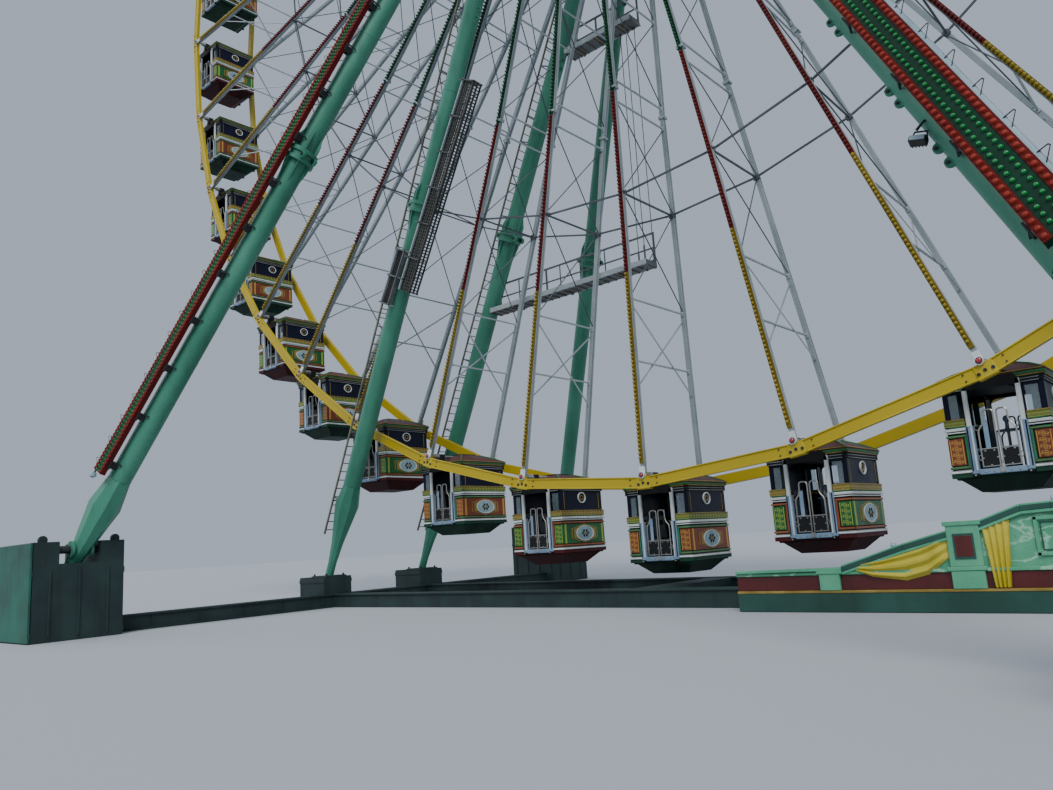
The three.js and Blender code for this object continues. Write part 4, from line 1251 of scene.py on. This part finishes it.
def swag(bm, topLine, bottomLine, y, folds, depth, mat):  # hung between two lines of x, z points
    def at(line, share):
        k = min(int(share * (len(line) - 1)), len(line) - 2)
        t = share * (len(line) - 1) - k
        return [line[k][i] + (line[k + 1][i] - line[k][i]) * t for i in (0, 1)]

    def shape(u, t):
        (xa, za), (xb, zb) = at(topLine, u), at(bottomLine, u)
        lift = 0.5 + 0.5 * math.sin(folds * t * math.pi + 0.6 * math.sin(3 * u))
        edge = min(1, 6 * min(u, 1 - u, t, 1 - t) + 0.15)
        return Vector((xa + (xb - xa) * t, y - depth * (0.25 + 0.75 * lift) * edge, za + (zb - za) * t))

    relief(bm, 40, 14, mat, shape)


def tail(bm, xs, top, low, y, folds, depth, mat):  # a gathered end that hangs down
    def shape(u, t):
        x = xs[0] + 0.1 * t + (xs[1] - xs[0]) * (1 - 0.45 * t) * u
        lift = 0.5 + 0.5 * math.sin(folds * u * math.pi * 2)
        return Vector((x, y - depth * lift * (0.4 + 0.6 * t), top + (low - top) * t))

    relief(bm, 30, 16, mat, shape)


def parapetDress():
    bm = bmesh.new()
    p = parapet
    y = p["face"] - 0.001

    def plate(x0, x1, z0, z1, proud, mat, bevel=0.008):
        box(bm, (x0, y - proud, z0), (x1, y + 0.002, z1), mat, bevel)

    def border(x0, x1, z0, z1, wide, proud, mat, bevel=0.008):  # four plates round a field
        for a, b, c, d in ((x0, x1, z1 - wide, z1), (x0, x1, z0, z0 + wide), (x0, x0 + wide, z0, z1),
                           (x1 - wide, x1, z0, z1)):
            plate(a, b, c, d, proud, mat, bevel)

    for z0, z1, proud, mat in p["courses"]:
        plate(p["left"], p["right"], z0, z1, proud, mat)
    for x0, x1, top in p["piers"]:
        plate(x0, x1, 0.41, 0.72, 0.075, 4)
        plate(x0 - 0.05, x1 + 0.05, 0.72, 0.79, 0.09, 4)
        if top:
            plate(x0, x1, 0.79, top, 0.07, 4)
            plate(x0 - 0.04, x1 + 0.04, top - 0.02, top + 0.06, 0.09, 4)
            plate(x0 + 0.1, x1 - 0.1, 0.92, top - 0.16, 0.085, 1, 0.004)
            plate(x0 + 0.13, x1 - 0.13, 0.96, top - 0.2, 0.09, 2, 0.004)
    for (xa, za), (xb, zb) in zip(p["rail"], p["rail"][1:]):
        for out, drop, wide, deep, mat, up, bevel in (
                (-0.02, 0, 0.1, 0.09, 1, (0, 1, 0), 0.01), (-0.04, -0.075, 0.05, 0.04, 4, (0, 1, 0), 0.006),
                (0.05, 0.05, 0.22, 0.05, 4, (0, 0, 1), 0.01)):
            beam(bm, (xa, y + out, za + drop), (xb, y + out, zb + drop), wide, deep, mat, up, bevel)
    beam(bm, (p["left"], y - 0.01, 0.79), (5.43, y - 0.01, 0.81), 0.16, 0.06, 4, (0, 0, 1), 0.01)
    x0, x1, z0, z1 = p["panel"]
    border(x0, x1, z0, z1, 0.06, 0.035, 4)
    border(x0 + 0.09, x1 - 0.09, z0 + 0.09, z1 - 0.09, 0.015, 0.016, 1, 0)
    for x in p["discs"]:  # plain discs on the long panel
        rod(bm, (x, y - 0.03, 1.255), (x, y, 1.255), 0.13, 1, 24)
        rod(bm, (x, y - 0.036, 1.255), (x, y, 1.255), 0.105, 4, 24)
    swag(bm, p["swagTop"], p["swagLow"], y - 0.012, 5, 0.07, 5)
    tail(bm, (7.95, 8.4), 1.56, 0.44, y - 0.02, 4, 0.07, 5)
    tail(bm, (11.6, 11.1), 1.66, 0.44, y - 0.1, 4, 0.03, 5)
    for x, z in p["sockets"]:  # for the lamps on the rail
        rod(bm, (x, y + 0.05, z - 0.1), (x, y + 0.05, z), 0.05, 6, 10)
        rod(bm, (x, y + 0.05, z), (x, y + 0.05, z + 0.06), 0.06, 6, 10, 0.04)
    finishes = [fasciaGreen, fasciaDark, fasciaRed, cabinShared[0], fasciaPlain, drapeYellow, edgeBlue]
    piece("platform_parapet_ornament", bm, finishes, "structure")


deck = {"left": 3.2, "right": 11.6, "front": -2.99, "rear": -1.77, "plates": 9, "plateStep": 1.03,
        "trestles": 8, "trestleStep": 1.15}


def deckParts():
    bm = bmesh.new()
    g = deck
    for k in range(g["plates"]):
        x = g["left"] + 0.05 + k * g["plateStep"]
        box(bm, (x, g["front"], 0.752), (x + 1.0, g["rear"], 0.762), 0, 0.003)
    box(bm, (g["left"], g["rear"] - 0.02, 0.7), (g["right"], g["rear"] + 0.02, 0.76), 1, 0.006)
    for k in range(g["trestles"]):
        x, y = g["left"] + 0.3 + k * g["trestleStep"], -1.8
        for a in (-0.25, 0.25):
            beam(bm, (x, y, 0.06), (x + a, y, 0.5), 0.05, 0.05, 1)
        upright(bm, x, y, 0.3, 0.06, 0.0, 0.06, 1, 0.008)
        box(bm, (x - 0.04, -2.45, 0.44), (x + 0.04, -1.76, 0.5), 1)
    piece("boarding_platform_plates", bm, [deckPlate, galvanised], "structure")


def sideBlock(bm, side, face):  # the dress of a side leg's block
    seat = legAt("side", side, face, legs["side"]["seat"])
    x, y = seat.x + side * 0.7, seat.y
    for a in (-1, 1):
        wall = y + a * 1.1
        upright(bm, x, wall, 1.21, 0.02, 0.1, 0.22, 0, 0.01)
        upright(bm, x, wall, 1.21, 0.02, 1.6, 1.75, 0, 0.01)
        for k in range(4):
            upright(bm, x - 1.0 + k * 0.66, wall, 0.03, 0.03, 0.22, 1.6, 0, 0.008)
        eye = x - side * 1.12, y + a * 0.88, 2.5  # for lifting
        pin(bm, eye, (0.04, 0, 0), 0.11, 0, 16)
        pin(bm, eye, (0.05, 0, 0), 0.05, 1, 12)
        for k in range(6):
            pin(bm, (x - 0.95 + k * 0.38, wall + a * 0.03, 1.68), (0, 0.03, 0), 0.035, 1)
        pin(bm, (seat.x - side * 0.03, y + a * 0.54, 2.25), (0, 0.02, 0), 0.2, 1, 16)
        for b in (-0.7, 0, 0.7):
            upright(bm, x + a * 1.2, y + b, 0.03, 0.03, 0.1, 1.75, 0, 0.008)
    outer = y + face * 1.13  # the painted sheet on the outer face
    box(bm, (x - 1.2, outer - 0.045, 0.02), (x + 1.2, outer + 0.015, 2.44), 2, 0.01)


def mainSeat(bm, side, face):  # the plate and bolts below a main leg
    seat = legAt("main", side, face, legs["main"]["seat"])
    y = seat.y
    upright(bm, seat.x, y, 0.42, 0.42, 0.99, 1.04, 0, 0.012)
    for a in (-1, 1):
        upright(bm, seat.x + side * 0.2, y + a * 0.55, 0.72, 0.02, 0.8, 0.92, 0, 0.01)
        for b in (-1, 1):
            pin(bm, (seat.x + a * 0.34, y + b * 0.34, 1.065), (0, 0, 0.035), 0.035, 1)


def baseParts():
    bm = bmesh.new()
    for side in (-1, 1):
        for face in (-1, 1):
            sideBlock(bm, side, face)
            mainSeat(bm, side, face)
        x, y = side * 12.3, side * 2.1
        for a in (-0.2, 0.2):
            for z in (0.0, 0.38):
                box(bm, (x + a - 0.05, -9.6, z), (x + a + 0.05, 9.0, z + 0.05), 0, 0.006)
            box(bm, (-12.1, y + a - 0.05, 0.38), (12.1, y + a + 0.05, 0.425), 0, 0.006)
        for k in range(-6, 7):
            upright(bm, x, k * 1.4, 0.22, 0.02, 0.04, 0.39)
    piece("base_frame_parts", bm, [blockPaint, darkSteel, sheetPaint], "structure")


parapetDress()
deckParts()
baseParts()
print("deck, parapet and base made")

nodeFinish = {  # for the CAD nodes that show
    "front_wheel_frame": wheelPaint, "rear_wheel_frame": wheelPaint, "tie_ring": darkRod,
    "hub_and_axle": turquoise, "hub_head_front": turquoise, "hub_head_rear": turquoise,
    "lamp_board_left": stripGreen, "lamp_board_right": stripGreen, "base_frame": blockPaint,
    "walkway_rear_low": galvanised, "landing_rear_high": galvanised,
    "ladder_front": weatheredSteel, "ladder_rear": weatheredSteel,
    "boarding_platform": deckPlate, "platform_parapet": fasciaGreen,
}
for name, look in nodeFinish.items():
    for slot in frame["nodes"][name].material_slots:
        slot.material = look

stageSet = {
    "floor": 400.0, "floorDrop": 0.004, "floorColour": (0.42, 0.44, 0.48),
    "sky": (0.66, 0.76, 0.9), "skyStrength": 0.62,
    "suns": {"key": (2.4, (0.75, 0.1, 0.55), 0.5), "fill": (0.5, (0.95, 0, -1.2), 0.9)},  # power, turn, angle
}


def floorAndLight():
    g = stageSet
    bm = bmesh.new()
    bmesh.ops.create_grid(bm, x_segments=1, y_segments=1, size=g["floor"],
                          matrix=Matrix.Translation((0, 0, -g["floorDrop"])))
    mesh = meshFrom(bm, "floor")
    ground = bpy.data.materials.new("paleFloor")
    ground.use_nodes = True
    groundShader = ground.node_tree.nodes["Principled BSDF"]
    groundShader.inputs["Base Color"].default_value = (*g["floorColour"], 1)
    groundShader.inputs["Roughness"].default_value = 0.9
    mesh.materials.append(ground)
    floor = bpy.data.objects.new("floor", mesh)
    bpy.context.collection.objects.link(floor)
    world = bpy.data.worlds.new("sky")
    world.use_nodes = True
    backdrop = world.node_tree.nodes["Background"]
    backdrop.inputs["Color"].default_value = (*g["sky"], 1)
    backdrop.inputs["Strength"].default_value = g["skyStrength"]
    bpy.context.scene.world = world
    for name, (power, turn, angle) in g["suns"].items():
        sun = bpy.data.lights.new(name, "SUN")
        sun.energy = power
        sun.angle = angle
        holder = bpy.data.objects.new(name, sun)
        holder.rotation_euler = turn
        bpy.context.collection.objects.link(holder)


# metres of the model, degrees and millimetres
view = {"at": (5.88, -9.675, 0.815), "yaw": -40.93, "pitch": 10.21, "roll": -3.6, "lens": 28.46}


def camera():
    yaw, pitch, roll = (math.radians(view[k]) for k in ("yaw", "pitch", "roll"))
    forward = Vector((math.sin(yaw) * math.cos(pitch), math.cos(yaw) * math.cos(pitch), math.sin(pitch)))
    level = Vector((math.cos(yaw), -math.sin(yaw), 0))
    upwards = level.cross(forward)
    right = level * math.cos(roll) + upwards * math.sin(roll)
    up = upwards * math.cos(roll) - level * math.sin(roll)
    data = bpy.data.cameras.new("photo")
    data.lens = view["lens"]
    data.sensor_width = 36
    data.sensor_fit = "HORIZONTAL"
    data.clip_start = 0.05
    data.clip_end = 1000
    holder = bpy.data.objects.new("photo", data)
    holder.matrix_world = Matrix.Translation(view["at"]) @ Matrix((right, up, -forward)).transposed().to_4x4()
    bpy.context.collection.objects.link(holder)
    bpy.context.scene.camera = holder


floorAndLight()
camera()
print("stage set")
